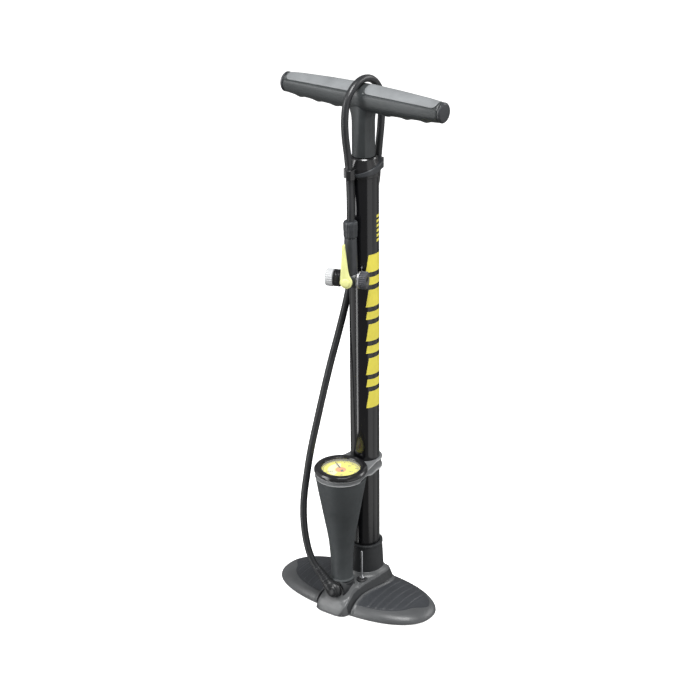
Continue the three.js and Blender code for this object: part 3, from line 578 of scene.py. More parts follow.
def carved(made, *cutters):
    """Cuts shapes out of a piece, for good."""
    for points, faces in cutters:
        mesh = bpy.data.meshes.new("cutter")
        mesh.from_pydata([Vector(p) * MM for p in points], [], faces)
        work = bmesh.new()
        work.from_mesh(mesh)
        bmesh.ops.recalc_face_normals(work, faces=work.faces)
        work.to_mesh(mesh)
        work.free()
        cutter = placed("cutter", mesh)
        modifier = made.modifiers.new("cut", "BOOLEAN")
        modifier.operation = "DIFFERENCE"
        modifier.solver = "EXACT"
        modifier.object = cutter
        bpy.context.view_layer.update()
        depsgraph = bpy.context.evaluated_depsgraph_get()
        result = bpy.data.meshes.new_from_object(made.evaluated_get(depsgraph))
        made.modifiers.clear()
        made.data = result
        bpy.data.objects.remove(cutter)
    made.data.set_sharp_from_angle(angle=radians(30))


# ---- Hose ----


def route_curve(points, steps):
    """A centripetal Catmull-Rom curve through points, with a number of steps between each two."""
    control = [Vector(p) for p in points]
    control = [2 * control[0] - control[1]] + control + [2 * control[-1] - control[-2]]
    path = []
    for a, b, c, d in zip(control, control[1:], control[2:], control[3:]):
        knots = [0.0]
        for p, q in ((a, b), (b, c), (c, d)):
            knots.append(knots[-1] + sqrt((q - p).length))
        k0, k1, k2, k3 = knots
        for i in range(steps):
            t = k1 + (k2 - k1) * i / steps
            ab = a.lerp(b, (t - k0) / (k1 - k0))
            bc = b.lerp(c, (t - k1) / (k2 - k1))
            cd = c.lerp(d, (t - k2) / (k3 - k2))
            abc = ab.lerp(bc, (t - k0) / (k2 - k0))
            bcd = bc.lerp(cd, (t - k1) / (k3 - k1))
            path.append(abc.lerp(bcd, (t - k1) / (k2 - k1)))
    path.append(control[-2])
    return path


def add_hose():
    path = route_curve(HOSE_ROUTE, 14)
    length = sum((b - a).length for a, b in zip(path, path[1:]))
    hose = piece("air_hose", tube_along(path, HOSE_R, 24), "hose", None, "hose")
    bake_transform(hose)
    return hose, path, length


# ---- Foot ----

WING_HALF_LENGTH = BASE_HIGH.x
WING_HALF_DEPTH = 53.8
WING_CENTRE_Y = -18.2
WING_ROUNDNESS = 2.26
WING_RIM = 8
WING_CROWN = 11
FOOT_RIM_Z = BASE_LOW.z
ROLL_REACH = 13
ROLL_DROP = 6.6

# Stations of the spine: (y, half width of its top, height of its top).
SPINE = [
    (-82.5, 9, 4.5), (-81, 15, 7.2), (-78, 18.8, 10.2), (-73, 20.2, 13.9),
    (-65, 19.4, 17.8), (-55, 18.4, 21.4), (-44, 18.4, 24.6), (-32, 20.6, 27.3),
    (-20, 23.4, DECK_Z), (-8, 25.8, 29.2), (3, 26.7, 29.2), (9, 26.3, 29.1),
    (14, 25.2, 28.7), (19, 22.8, 27.8), (23, 19.8, 26.4), (26, 16.4, 24.6),
    (28.5, 12.6, 22.3), (30.5, 8.8, 19.5), (32.2, 5, 16), (33.6, 2, 12),
    (34.6, 0, 8),
]
SPINE_FLARE = 5
SPINE_EDGE = 1.2
SPINE_ROUND = 3
SPINE_CURVE = 0.32
SPINE_SLOPE = 2 * SPINE_CURVE * SPINE_ROUND
BAND_WIDTH = 6.5
BAND_DROP = 4.2
FIELD_FRONT_EDGE = 0.8
FIELD_REAR_EDGE = 0.92
FIELD_MARGIN = 2.6
FIELD_DEPTH = 1.1
PLANK = 9.6
PLANK_START = 34
PLANK_COUNT = 5.4
PLANK_LIFT = 0.9
HOOD_HEIGHT = 10
HOOD_HALF_WIDTH = 17

# Round pieces that rise from the foot: (x, y, radius at the foot, width of the fillet, height of the fillet).
COVES = [
    (0, 0, 23, 6, 5),
    (0, TOWER_Y, 15.5, 7, 7),
]

# Under the foot, from its rim inwards: (share of the way out, height over the rim's low edge).
RIM_STEPS = [(0.995, 0), (0.985, 0), (0.95, 0.6), (0.9, 2.4)]


def spine_at(y):
    """Half width and height of the spine's top at a place along it."""
    if y <= SPINE[0][0]:
        return SPINE[0][1:]
    for (y0, w0, h0), (y1, w1, h1) in zip(SPINE, SPINE[1:]):
        if y <= y1:
            t = (y - y0) / (y1 - y0)
            return w0 + (w1 - w0) * t, h0 + (h1 - h0) * t
    return SPINE[-1][1:]


def wing_share(x, y):
    """0 at the middle of the wings, 1 on their outline."""
    a = abs(x) / WING_HALF_LENGTH
    b = abs(y - WING_CENTRE_Y) / WING_HALF_DEPTH
    return (a**WING_ROUNDNESS + b**WING_ROUNDNESS) ** (1 / WING_ROUNDNESS)


def in_field(x, y, share, soft):
    """1 inside the treaded field of a wing, 0 outside it, with an edge that is soft over a share."""
    rear = smoothstep(-12, 12, y - WING_CENTRE_Y)
    edge = FIELD_FRONT_EDGE + (FIELD_REAR_EDGE - FIELD_FRONT_EDGE) * rear
    start = spine_at(y)[0] + BAND_WIDTH + FIELD_MARGIN
    return smoothstep(edge + soft, edge - soft, share) * smoothstep(start - 1, start + 1, abs(x))


def plank_height(x, y, share):
    """The overlapping treads on a wing, like the planks of a boat."""
    place = (abs(x) - PLANK_START) / PLANK
    if place < 0 or place > PLANK_COUNT:
        return 0
    saw = place % 1
    return PLANK_LIFT * saw * smoothstep(1, 0.88, saw) * in_field(x, y, share + 0.03, 0.03)


def wing_height(x, y):
    """The wings' dome, with the treaded fields, the low band beside the spine and the lip between them."""
    share = min(1.0, wing_share(x, y))
    half, _ = spine_at(y)
    dome = WING_RIM + WING_CROWN * (1 - share**2.4)
    field = in_field(x, y, share, 0.015)
    ledge = half + BAND_WIDTH
    band = 1 - smoothstep(ledge - 1.3, ledge + 0.2, abs(x))
    lip = smoothstep(ledge - 1.2, ledge + 0.3, abs(x)) * (1 - smoothstep(ledge + 1.6, ledge + 4, abs(x)))
    return dome - FIELD_DEPTH * field + plank_height(x, y, share) - BAND_DROP * band + lip


def spine_height(x, y):
    """Flat on top, then rounded over on each side and down a straight slope."""
    half, height = spine_at(y)
    over = max(0, abs(x) - half + SPINE_EDGE)
    if over < SPINE_ROUND:
        return height - SPINE_CURVE * over**2
    return height - SPINE_CURVE * SPINE_ROUND**2 - SPINE_SLOPE * (over - SPINE_ROUND)


def cove_height(x, y):
    """The fillets round the boot and the cup."""
    rise = 0
    for cx, cy, radius, width, height in COVES:
        away = (hypot(x - cx, y - cy) - radius) / width
        if away < 1:
            rise = max(rise, height * (1 - max(0, away)) ** 2)
    return rise


def hood_height(x, y):
    """The mound in front of the tower that the hose swivel turns on."""
    along = smoothstep(-74, -62, y) * smoothstep(-36, -48, y)
    across = max(0, 1 - (abs(x) / HOOD_HALF_WIDTH) ** 2)
    return HOOD_HEIGHT * along * across**1.5


def foot_height(x, y):
    """The height of the foot's top, where the spine, the wings and the raised parts meet."""
    spine = spine_height(x, y)
    wing = wing_height(x, y) if wing_share(x, y) < 1.02 else -9
    return max(spine, wing) + cove_height(x, y) + hood_height(x, y)


def spine_outline():
    """The spine's outline at the floor, as (x, y) points that run round it."""
    right = []
    for y, half, height in SPINE:
        right.append((half + SPINE_FLARE * min(1, height / 20), y))
    return [(-x, y) for x, y in right][::-1] + right


def ray_reach(angle, outline):
    """How far a ray from the wings' centre goes before it leaves an outline."""
    way = Vector((cos(angle), sin(angle)))
    best = 0
    for (x0, y0), (x1, y1) in zip(outline, outline[1:] + outline[:1]):
        start = Vector((x0, y0 - WING_CENTRE_Y))
        edge = Vector((x1 - x0, y1 - y0))
        cross = way.x * edge.y - way.y * edge.x
        if abs(cross) < 1e-9:
            continue
        reach = (start.x * edge.y - start.y * edge.x) / cross
        share = (start.x * way.y - start.y * way.x) / cross
        if -1e-9 <= share <= 1 + 1e-9:
            best = max(best, reach)
    return best


def foot_shape():
    """The foot's shell: rings of points from its middle out to its edge, then in again under the rim."""
    sides = 560
    rings = 150
    probe = 50
    outline = [(p.x, p.y) for p in rounded(spine_outline(), 3, loop=True)]
    reaches = []
    for i in range(sides):
        angle = 2 * pi * i / sides
        share = wing_share(cos(angle) * probe, WING_CENTRE_Y + sin(angle) * probe)
        reaches.append(max(probe / share, ray_reach(angle, outline)))
    rows = [[(0, WING_CENTRE_Y, foot_height(0, WING_CENTRE_Y))]]
    for level in range(1, rings + 1):
        share = 1 - (1 - level / rings) ** 1.25
        row = []
        for i, reach in enumerate(reaches):
            angle = 2 * pi * i / sides
            x = cos(angle) * reach * share
            y = WING_CENTRE_Y + sin(angle) * reach * share
            inward = reach * (1 - share)
            z = foot_height(x, y)
            if inward < ROLL_REACH:
                z -= ROLL_DROP * (1 - quarter_round(inward / ROLL_REACH))
            row.append((x, y, max(z, FOOT_RIM_Z + 0.4)))
        rows.append(row)
    rim = rows[-1]
    for scale, lift in RIM_STEPS:
        z = FOOT_RIM_Z + lift
        rows.append([(x * scale, WING_CENTRE_Y + (y - WING_CENTRE_Y) * scale, z) for x, y, _ in rim])
    rows.append([(0, WING_CENTRE_Y, z)])
    return skinned(rows)


def boot_shape():
    """The socket that the barrel stands in."""
    top = BOOT_TOP
    bore = BARREL_R + 0.25
    return turned([
        (23.3, 20), (23.1, 30), (22.4, 44), (21.3, top - 3.2), (21.9, top - 2.6), (21.9, top - 0.3),
        (21.2, top), (bore, top), (bore, 20),
    ], 96, 0.35, loop=True)


def cup_shape():
    """The socket that the tower stands in."""
    return on_tower(turned([
        (0, 16), (16.6, 16), (15.2, 25), (14.6, 33.6), (15.2, 34.2), (15.2, 37.4), (14.7, 38),
        (13.3, 38), (13.3, 34.6), (0, 34.6),
    ], 72, 0.35))


def boss_shape():
    """The round boss that the swivel turns on, with a raised ring round the swivel."""
    return shifted(along_front(turned([
        (0, 44), (15.2, 44), (14.9, 58), (14.2, 63.4), (13.6, 65.2), (12.4, 65.8), (11.6, 65.2),
        (11.2, 63.2), (0, 63.2),
    ], 72, 0.5)), z=SWIVEL_Z - 0.6)


def needle_seat_shape():
    """The round rim that the needle's grommet sits in."""
    deck = DECK_Z
    return shifted(turned([
        (0, deck - 4), (7.4, deck - 4), (7.1, deck + 0.1), (6.4, deck + 0.7), (5.7, deck + 0.5),
        (5.3, deck - 1.4), (0, deck - 1.4),
    ], 48, 0.3), NEEDLE_X, NEEDLE_Y)


FOOT_LOOKS = ("foot", "tread", "dark_socket_and_band_shade", "deck")


def foot_look(x, y, z):
    """The look of the foot's top at a point."""
    half, _ = spine_at(y)
    share = wing_share(x, y)
    if z < FOOT_RIM_Z + 2:
        return "foot"
    # The spine's top is painted lighter, as lit from above.
    if abs(x) < half - 1:
        return "deck"
    # The treaded fields are painted darker as shade.
    if share < 1 and in_field(x, y, share, 0.001) > 0.5:
        return "tread"
    # The low band beside the spine is painted darker as shade.
    return "dark_socket_and_band_shade" if share < 1 and half + 1 < abs(x) < half + BAND_WIDTH - 0.4 else "foot"


def add_foot():
    foot = piece("foot_moulded_shell", foot_shape(), "foot", "root", "base_body", 50)
    for look in FOOT_LOOKS[1:]:
        foot.data.materials.append(MATERIALS[look])
    for face in foot.data.polygons:
        face.material_index = FOOT_LOOKS.index(foot_look(*(face.center / MM)))
    raised = {
        "foot_barrel_boot": boot_shape(),
        "foot_tower_cup": cup_shape(),
        "foot_swivel_boss": boss_shape(),
        "foot_needle_seat": needle_seat_shape(),
    }
    for name, shape in raised.items():
        piece(name, shape, "dark_socket_and_band_shade")


# ---- Barrel, its print and its cap ----


def add_barrel():
    inner = BARREL_R - 1.5
    shape = turned([
        (inner, BARREL_LOW.z), (BARREL_R, BARREL_LOW.z), (BARREL_R, BARREL_HIGH.z), (inner, BARREL_HIGH.z),
    ], 128, 0.3, loop=True)
    piece("barrel_tube", shape, "paint", node="barrel")


PRINT_R = BARREL_R + 0.05
PRINT_AZIMUTH = radians(-9)
PRINT_START_Z = 262
PRINT_BLOCKS = (22, 10)
PRINT_BLOCK_COUNT = 9
PRINT_GAP = 6.2
PRINT_SLANT = 0.16
PRINT_BARS = 6
PRINT_BAR_PITCH = 6
PRINT_BAR_START = 8


def printed(strips, azimuth):
    """Thin shapes on the barrel from strips of (z, left, right), with left and right in mm round it."""
    across = 40
    width = across + 1
    shapes = []
    for strip in strips:
        points = []
        for z, left, right in strip:
            for i in range(width):
                angle = azimuth + (left + (right - left) * i / across) / BARREL_R
                points.append((PRINT_R * cos(angle), PRINT_R * sin(angle), z))
        faces = []
        for low in range(len(strip) - 1):
            for i in range(across):
                start = low * width + i
                faces.append((start, start + 1, start + 1 + width, start + width))
        shapes.append((points, faces))
    return joined(*shapes)


def slanted_bar(z, height, left, right, slant):
    """A bar across the barrel whose ends are cut on a slant."""
    steps = 8
    strip = []
    for i in range(steps + 1):
        t = i / steps
        strip.append((z + height * t, left + slant * t, right + slant * t))
    return strip


def barrel_print():
    """A plain pattern of slanted blocks, long and short by turns, in place of lettering."""
    strips = []
    z = PRINT_START_Z
    for i in range(PRINT_BLOCK_COUNT):
        height = PRINT_BLOCKS[i % len(PRINT_BLOCKS)]
        strips.append(slanted_bar(z, height, -12.5, 12, PRINT_SLANT * height))
        z += height + PRINT_GAP
    for i in range(PRINT_BARS):
        strips.append(slanted_bar(z + PRINT_BAR_START + i * PRINT_BAR_PITCH, 3.4, 3, 11, 0.4))
    return strips


def add_print():
    piece("barrel_print", printed(barrel_print(), PRINT_AZIMUTH), "print")


# The hose hooks: (x, y, direction that the mouth opens to, in degrees).
FRONT_CLIP = (-2.5, -25.4, 235)
REAR_CLIP = (2.2, 25.2, 80)
CLIP_INNER_R = HOSE_R + 0.5
CLIP_OUTER_R = 7.4
CLIP_MOUTH = 96
CAP_BORE = 9.4
CAP_SHOULDER_Z = 567.4
SWEEP_START_Z = 559.2
SWEEP_RISE = 10.6


def clip_shape(clip, low, high):
    """A C-shaped hook round the hose."""
    x, y, opening = clip
    start = radians(opening + CLIP_MOUTH / 2)
    end = radians(opening - CLIP_MOUTH / 2 + 360)
    outer = arc(CLIP_OUTER_R, start, end, 30, x, y)
    inner = arc(CLIP_INNER_R, start, end, 30, x, y)
    return prism(outer + inner[::-1], low, high, 0.5)


def band_shape():
    """The swept band that runs round the cap's right side, up to the rear hook."""
    start = radians(-112)
    end = radians(78)
    steps = 60
    rows = []
    for i in range(steps + 1):
        t = i / steps
        angle = start + (end - start) * t
        middle = SWEEP_START_Z + SWEEP_RISE * smoothstep(0, 0.9, t)
        half = 1.5 + 2.6 * smoothstep(0, 0.6, t)
        out = CAP_R + 1.9 + 2.6 * smoothstep(0.55, 1, t)
        inside = CAP_R - 2.6
        low = middle - half
        high = middle + half
        section = rounded([(inside, low), (out, low), (out, high), (inside, high)], 1.1, loop=True)
        rows.append([(r * cos(angle), r * sin(angle), z) for r, z in section])
    return end_faced(rows)


def cap_shape():
    inner = BARREL_R + 0.3
    low = CAP_LOW.z
    top = CAP_HIGH.z
    seat = BARREL_HIGH.z + 0.4
    return turned([
        (inner, low), (CAP_R - 0.5, low), (CAP_R, low + 1), (CAP_R, CAP_SHOULDER_Z),
        (CAP_R - 0.8, CAP_SHOULDER_Z + 2), (STEM_R + 2.2, top - 1.4), (STEM_R + 1, top), (CAP_BORE, top),
        (CAP_BORE, seat), (inner, seat),
    ], 96, 0.5, loop=True)


def add_cap():
    piece("barrel_top_cap", cap_shape(), "gloss", node="top_cap")
    piece("cap_front_hook", clip_shape(FRONT_CLIP, 557, 569), "gloss")
    piece("cap_rear_hook", clip_shape(REAR_CLIP, 558, 571), "gloss")
    # The band takes the chuck's dark grey, a little lighter than the cap's black, which paints in some sheen
    # along its edges.
    piece("cap_swept_band", band_shape(), "chuck")


# ---- Handle ----

BAR_END = HANDLE_HALF - 5
BAR_PROFILE = [(0, HANDLE_MID_R), (16, HANDLE_MID_R), (48, 15.2), (88, 13.4), (BAR_END, HANDLE_END_R)]
HUB_HALF = 8.6
COVER_END = HANDLE_HALF - 7.4
SEAM_ANGLE = 30
SEAM_GAP = 2.4
SEAM_WIDTH = 3
BED_DEPTH = 1.0
FINGER_RIDGES = (36, 62, 88)
RIDGE_HEIGHT = 1.7
RIDGE_WIDTH = 4.8


def bar_radius(x):
    """The bar's radius, along straight lines between its stations."""
    away = abs(x)
    for (x0, r0), (x1, r1) in zip(BAR_PROFILE, BAR_PROFILE[1:]):
        if away <= x1:
            return r0 + (r1 - r0) * (away - x0) / (x1 - x0)
    return BAR_PROFILE[-1][1]


def bar_point(x, angle, radius):
    return (x, -radius * cos(angle), HANDLE_Z + radius * sin(angle))


def ridge_swell(x, angle):
    """The finger bumps under the bar."""
    under = max(0, -sin(angle)) ** 6
    bumps = [exp(-(((abs(x) - place) / RIDGE_WIDTH) ** 2)) for place in FINGER_RIDGES]
    return RIDGE_HEIGHT * sum(bumps) * under


def seam_bead(x, angle):
    """The small bead on the bar right under each cover's edge."""
    right = radians(SEAM_ANGLE - SEAM_WIDTH)
    left = pi - right
    away = min(abs(angle - right), abs(angle - left))
    return 0.45 * smoothstep(radians(SEAM_WIDTH), 0, away) * smoothstep(HUB_HALF, HUB_HALF + 2, abs(x))


def cover_bed(x, angle):
    """1 where a cover lies on the bar, 0 elsewhere."""
    start = radians(SEAM_ANGLE)
    soft = radians(SEAM_WIDTH)
    right = smoothstep(start, start + soft, angle if angle < pi else -1)
    left = smoothstep(pi - start, pi - start - soft, angle)
    hub = smoothstep(HUB_HALF - 0.4, HUB_HALF + 0.4, abs(x))
    tip = smoothstep(COVER_END + 0.6, COVER_END - 0.2, abs(x))
    return right * left * hub * tip


def bar_shape():
    """The whole bar, with its hub, its finger bumps and the beds that the covers lie in."""
    sides = 120
    steps = 210
    rows = [[(-BAR_END, 0, HANDLE_Z)]]
    for i in range(steps + 1):
        x = -BAR_END + 2 * BAR_END * i / steps
        edge = min(1.0, (BAR_END - abs(x)) / 0.8)
        row = []
        for k in range(sides):
            angle = 2 * pi * k / sides
            radius = bar_radius(x) - BED_DEPTH * cover_bed(x, angle)
            radius += ridge_swell(x, angle) + seam_bead(x, angle) - 0.5 * (1 - quarter_round(edge))
            row.append(bar_point(x, angle, radius))
        rows.append(row)
    rows.append([(BAR_END, 0, HANDLE_Z)])
    return skinned(rows)


def cover_shape(side):
    """One soft pad on top of the bar, on the right (1) or the left (-1)."""
    start = radians(SEAM_ANGLE + SEAM_GAP)
    end = pi - start
    around = 56
    lengthways = 90
    low = HUB_HALF + 0.7
    high = COVER_END - 0.4
    corner = 5.5
    rows = []
    for i in range(lengthways + 1):
        x = low + (high - low) * i / lengthways
        row_out = []
        row_in = []
        from_end = min(x - low, high - x)
        pull = 0
        if from_end < corner:
            pull = corner - sqrt(max(0, corner**2 - (corner - from_end) ** 2))
        shrink = pull / bar_radius(x)
        for k in range(around + 1):
            angle = start + shrink + (end - start - 2 * shrink) * k / around
            from_seam = min(k, around - k) / around * (end - start) * bar_radius(x)
            edge = min(from_end + 0.15, from_seam + 0.15, 1.0)
            proud = 0.35 * quarter_round(edge)
            row_out.append(bar_point(side * x, angle, bar_radius(x) - 0.2 + proud))
            row_in.append(bar_point(side * x, angle, bar_radius(x) - BED_DEPTH))
        rows.append(row_out + row_in[::-1])
    return end_faced(rows)


STEM_FACETS = 12
STEM_FACET_TURN = radians(-78)


def facet_swell(angle):
    """The factor on a circle's radius that makes it a polygon with slightly soft corners."""
    part = 2 * pi / STEM_FACETS
    within = (angle - STEM_FACET_TURN) % part - part / 2
    return min(cos(part / 2) / cos(within), 0.996)


def stem_shape():
    """The faceted stem, which flares to the right and left where it meets the bar."""
    low = HANDLE_LOW.z
    profile = [
        (5.4, low), (STEM_R, low), (STEM_R, HANDLE_Z - 28), (STEM_R + 0.9, HANDLE_Z - 21),
        (STEM_R + 3.4, HANDLE_Z - 14.5), (STEM_R + 4, HANDLE_Z - 8), (5.4, HANDLE_Z - 8),
    ]
    points, faces = turned(profile, 240, 1.2, loop=True, swell=facet_swell)
    narrow = []
    for x, y, z in points:
        flare = max(1, hypot(x, y) / STEM_R)
        narrow.append((x, y / flare, z))
    return narrow, faces


def end_cap_shape(side):
    start = BAR_END + 0.3
    end = HANDLE_HALF
    rim = HANDLE_END_R + 0.1
    shape = along_x(turned([
        (0, start), (rim - 1, start), (rim - 1, start + 0.5), (rim, start + 0.5), (rim, end - 2.2),
        (rim - 1.5, end - 0.6), (rim - 4.1, end - 0.15), (0, end),
    ], 72, 0.7))
    if side < 0:
        shape = moved(shape, Matrix.Rotation(pi, 4, "Z"))
    return shifted(shape, z=HANDLE_Z)


def add_handle():
    piece("handle_grip_body", bar_shape(), "handle", "handle", "handle_body", 40)
    piece("handle_stem", stem_shape(), "handle", "handle", crease=20)
    for name, side in (("right", 1), ("left", -1)):
        pad = cover_shape(side)
        piece(f"handle_{name}_pad", pad, "cover", "handle", f"handle_cover_{name}")
        plug = end_cap_shape(side)
        piece(f"handle_{name}_end_plug", plug, "chuck", "handle", f"handle_end_cap_{name}")


def add_rod():
    low, high = low_high("piston_rod")
    shape = pin_shape(high.x, low.z, high.z, 64, 0.4)
    piece("plunger_rod", shape, "chrome", "plunger", "piston_rod")


# ---- Gauge tower, bracket and gauge ----


def add_tower():
    top = TOWER_HIGH.z
    outer = [
        (12.7, 34.6), (12.9, 38.3), (14.9, 38.6), (15.3, 40.4), (13.9, 42.4), (13.6, 54), (14.3, 72),
        (16, 92), (18.3, 107), (20.9, 121), (24.4, 141), (28.3, 163), (31.4, top),
    ]
    inner = [(29.4, top), (26.3, 163), (13.8, 92), (12, 72), (10.7, 34.6)]
    shape = on_tower(turned(outer + inner, 96, 0.8, loop=True))
    piece("gauge_tower_cone", shape, "tower", node="gauge_tower")


COLLAR_R = 21.1
BRACKET_R = BRACKET_HIGH.x
BRACKET_FLANGE_Z = 182.6
# The strap's wall, from its foot to its top: (how far out, share of the height).
STRAP_LEVELS = [
    (-3, 0), (-0.5, 0), (0, 0.04), (0, 0.16), (-0.8, 0.2), (-0.8, 0.8), (0, 0.84), (0, 0.95), (-0.5, 1),
    (-3, 1),
]
WELL_R = 27.5
CUT_LOW = 150
CUT_HIGH = 210


def strap_side(start, end):
    """Points between the ends of two arcs."""
    steps = 12
    return [tuple(Vector(start).lerp(Vector(end), i / steps)) for i in range(1, steps)]


def strap_outline(extra):
    """The outline of the bracket: tangent to the collar and to the gauge's ring."""
    rear = COLLAR_R + extra
    front = BRACKET_R + extra
    tilt = asin((front - rear) / abs(TOWER_Y))
    collar = arc(rear, -tilt, pi + tilt, 40)
    gauge = arc(front, pi + tilt, 2 * pi - tilt, 80, y=TOWER_Y)
    return collar + strap_side(collar[-1], gauge[0]) + gauge + strap_side(gauge[-1], collar[0])


def strap_rows(levels):
    """Rows round the strap. Each level is (how far out, share of the height from the foot to the top)."""
    rows = []
    for out, share in levels:
        row = []
        for (x, y), (ox, oy) in zip(strap_outline(0), strap_outline(out)):
            foot = BRACKET_LOW.z + 0.6
            foot += (BRACKET_FLANGE_Z - foot) * smoothstep(-14, -40, y)
            row.append((ox, oy, foot + (BRACKET_HIGH.z - foot) * share))
        rows.append(row)
    return rows


def bracket_shape():
    """The strap that ties the tower to the barrel, with a deeper wall near the barrel."""
    rows = strap_rows(STRAP_LEVELS)
    middle = (0, TOWER_Y / 2)
    rows.insert(0, [(*middle, BRACKET_FLANGE_Z)])
    rows.append([(*middle, BRACKET_HIGH.z)])
    return skinned(rows)


def rib_highlight_shape(low, high):
    """A thin light line that runs round the bracket's wall on one of its ribs: a painted highlight of the
    rib.
    """
    levels = [(-0.6, low), (0.25, low), (0.4, (low + high) / 2), (0.25, high), (-0.6, high)]
    return skinned(strap_rows(levels), loop=True)


def add_bracket():
    made = piece("gauge_bracket_strap", bracket_shape(), "bracket", node="gauge_bracket")
    hole = pin_shape(BARREL_R + 0.2, CUT_LOW, CUT_HIGH, 96, 0)
    well = on_tower(pin_shape(WELL_R, CUT_LOW, CUT_HIGH, 96, 0))
    carved(made, hole, well)
    piece("bracket_upper_rib_highlight", rib_highlight_shape(0.85, 0.95), "rib_highlight")
    piece("bracket_lower_rib_highlight", rib_highlight_shape(0.05, 0.16), "rib_highlight")


DIAL_R = 23.4
DIAL_Z = 190.2
DIAL_TICKS = 40
DIAL_SWEEP = 270
POINTER_REST = 145
TICK_END = 21.2
NUMBER_R = 13.6
NUMBER_SIZE = 4.5
NUMBER_TURN = radians(35)


def dial_angle(share):
    return radians(POINTER_REST - DIAL_SWEEP * share)


def flat_ring(inner, outer, low):
    high = low + 0.25
    return turned([(inner, low), (outer, low), (outer, high), (inner, high)], 96, 0.08, loop=True)


def painted_reflection_outline():
    """The outline of the painted reflection of the lens on the left part of the dial, between its centre and
    its marks, as a broad arc.
    """
    start = radians(125)
    end = radians(275)
    return arc(7.4, start, end, 40) + arc(16.4, start, end, 40)[::-1]


def tick_shapes():
    """Marks round the dial's edge, long at each fifth."""
    shapes = []
    for i in range(DIAL_TICKS + 1):
        angle = dial_angle(i / DIAL_TICKS)
        long = i % 5 == 0
        inner = 17.2 if long else 19
        half = 0.42 if long else 0.22
        across = Vector((-sin(angle), cos(angle), 0)) * half
        near = Vector((cos(angle), sin(angle), 0)) * inner
        far = Vector((cos(angle), sin(angle), 0)) * TICK_END
        corners = [near - across, far - across, far + across, near + across]
        low = DIAL_Z + 0.2
        points = [corner + Vector((0, 0, z)) for z in (low, low + 0.12) for corner in corners]
        faces = [(0, 3, 2, 1), (4, 5, 6, 7), (0, 1, 5, 4), (1, 2, 6, 5), (2, 3, 7, 6), (3, 0, 4, 7)]
        shapes.append((points, faces))
    return joined(*shapes)


def add_dial_numbers():
    """Plain numbers at the long marks."""
    for i in range(0, 9, 2):
        angle = dial_angle(i / 8)
        data = bpy.data.curves.new(f"dial_number_{i * 20}", "FONT")
        data.body = str(i * 20)
        data.align_x = "CENTER"
        data.align_y = "CENTER"
        data.size = NUMBER_SIZE * MM
        data.extrude = 0.05 * MM
        data.materials.append(MATERIALS["dial_mark"])
        made = placed(data.name, data)
        made.location = Vector((NUMBER_R * cos(angle), TOWER_Y + NUMBER_R * sin(angle), DIAL_Z + 0.3)) * MM
        made.rotation_euler = (0, 0, NUMBER_TURN)
        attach(made, "root")


def pointer_shape():
    """A tapered hand with a short tail."""
    outline = [(-1.5, -6.5), (1.5, -6.5), (1.1, 0), (0.3, 18.6), (-0.3, 18.6), (-1.1, 0)]
    hand = prism(outline, DIAL_Z + 0.9, DIAL_Z + 1.4, 0.12)
    return moved(hand, Matrix.Rotation(radians(POINTER_REST - 90), 4, "Z"))


def add_gauge():
    low = BEZEL_LOW.z
    bezel = turned([
        (29, low), (BEZEL_R - 0.8, low), (BEZEL_R, low + 1.2), (BEZEL_R, 192.6), (BEZEL_R - 1.6, 194.8),
        (BEZEL_R - 4, BEZEL_HIGH.z), (26.4, BEZEL_HIGH.z), (24.4, 194.9), (23.6, 193.6), (23.6, low),
        (25, low),
    ], 128, 0.9, loop=True)
    piece("gauge_bezel_ring", on_tower(bezel), "gloss", node="gauge_bezel")
    lens = turned([(0, 192.4), (23.5, 192.4), (23.5, 193.5), (15, 194.5), (0, 194.9)], 96, 0.6)
    piece("gauge_lens_glass", on_tower(lens), "lens", node="gauge_lens")
    card = flat_ring(1.7, DIAL_R, DIAL_Z - 0.1)
    piece("gauge_dial_card", on_tower(card), "dial", node="gauge_dial")
    layers = [
        # The pale field on the dial's left is a painted reflection of the lens.
        ("dial_painted_reflection_field", prism(painted_reflection_outline(), DIAL_Z, DIAL_Z + 0.25, 0.08), "dial_reflection_paint"),
        ("dial_orange_centre", flat_ring(1.7, 6.6, DIAL_Z + 0.05), "dial_hub"),
        ("dial_rim_line", flat_ring(21.6, 22.1, DIAL_Z + 0.02), "dial_mark"),
        ("dial_ticks", tick_shapes(), "dial_mark"),
    ]
    for name, shape, look in layers:
        piece(name, on_tower(shape), look)
    add_dial_numbers()
    hand = on_tower(pointer_shape())
    piece("gauge_pointer_hand", hand, "dial_mark", "gauge_pointer", "gauge_pointer")
    hub = turned([
        (0, 187), (1.2, 187), (1.2, DIAL_Z + 0.5), (3, DIAL_Z + 0.6), (2.7, 191.9), (0, 192.1),
    ], 48, 0.3)
    piece("gauge_pointer_hub", on_tower(hub), "dial_hub", "gauge_pointer")


# ---- Hose swivel ----

SWIVEL_CENTRE = Vector((0, SWIVEL_Y - 4.2, SWIVEL_Z))
RELIEF_START = 14.3
RELIEF_END = 34
RELIEF_RINGS = 7
RELIEF_PITCH = 2.5


def elbow_shape():
    """The drum that turns on the boss, and its arm towards the hose."""
    front = -SWIVEL_Y
    drum = along_front(turned([
        (0, front + 1.6), (SWIVEL_R - 0.6, front + 1.6), (SWIVEL_R, front + 2.2), (SWIVEL_R, front + 5.2),
        (SWIVEL_R - 1.2, front + 7), (8.3, front + 7.6), (0, front + 7.6),
    ], 96, 0.7))
    arm_end = RELIEF_START - 0.3
    arm = turned([(0, 2), (7.6, 2), (7.4, 9), (6.9, 11.4), (6.9, arm_end), (0, arm_end)], 64, 0.6)
    return joined(shifted(drum, z=SWIVEL_Z), aimed(arm, HOSE_EXIT, SWIVEL_CENTRE))


def bolt_shape():
    front = -SWIVEL_Y
    bolt = along_front(turned([
        (0, front + 7), (7.9, front + 7), (7.9, front + 7.9), (7.2, front + 9.1), (5.2, front + 10),
        (2.4, front + 10.4), (0, front + 10.5),
    ], 96, 0.7))
    return shifted(bolt, z=SWIVEL_Z)


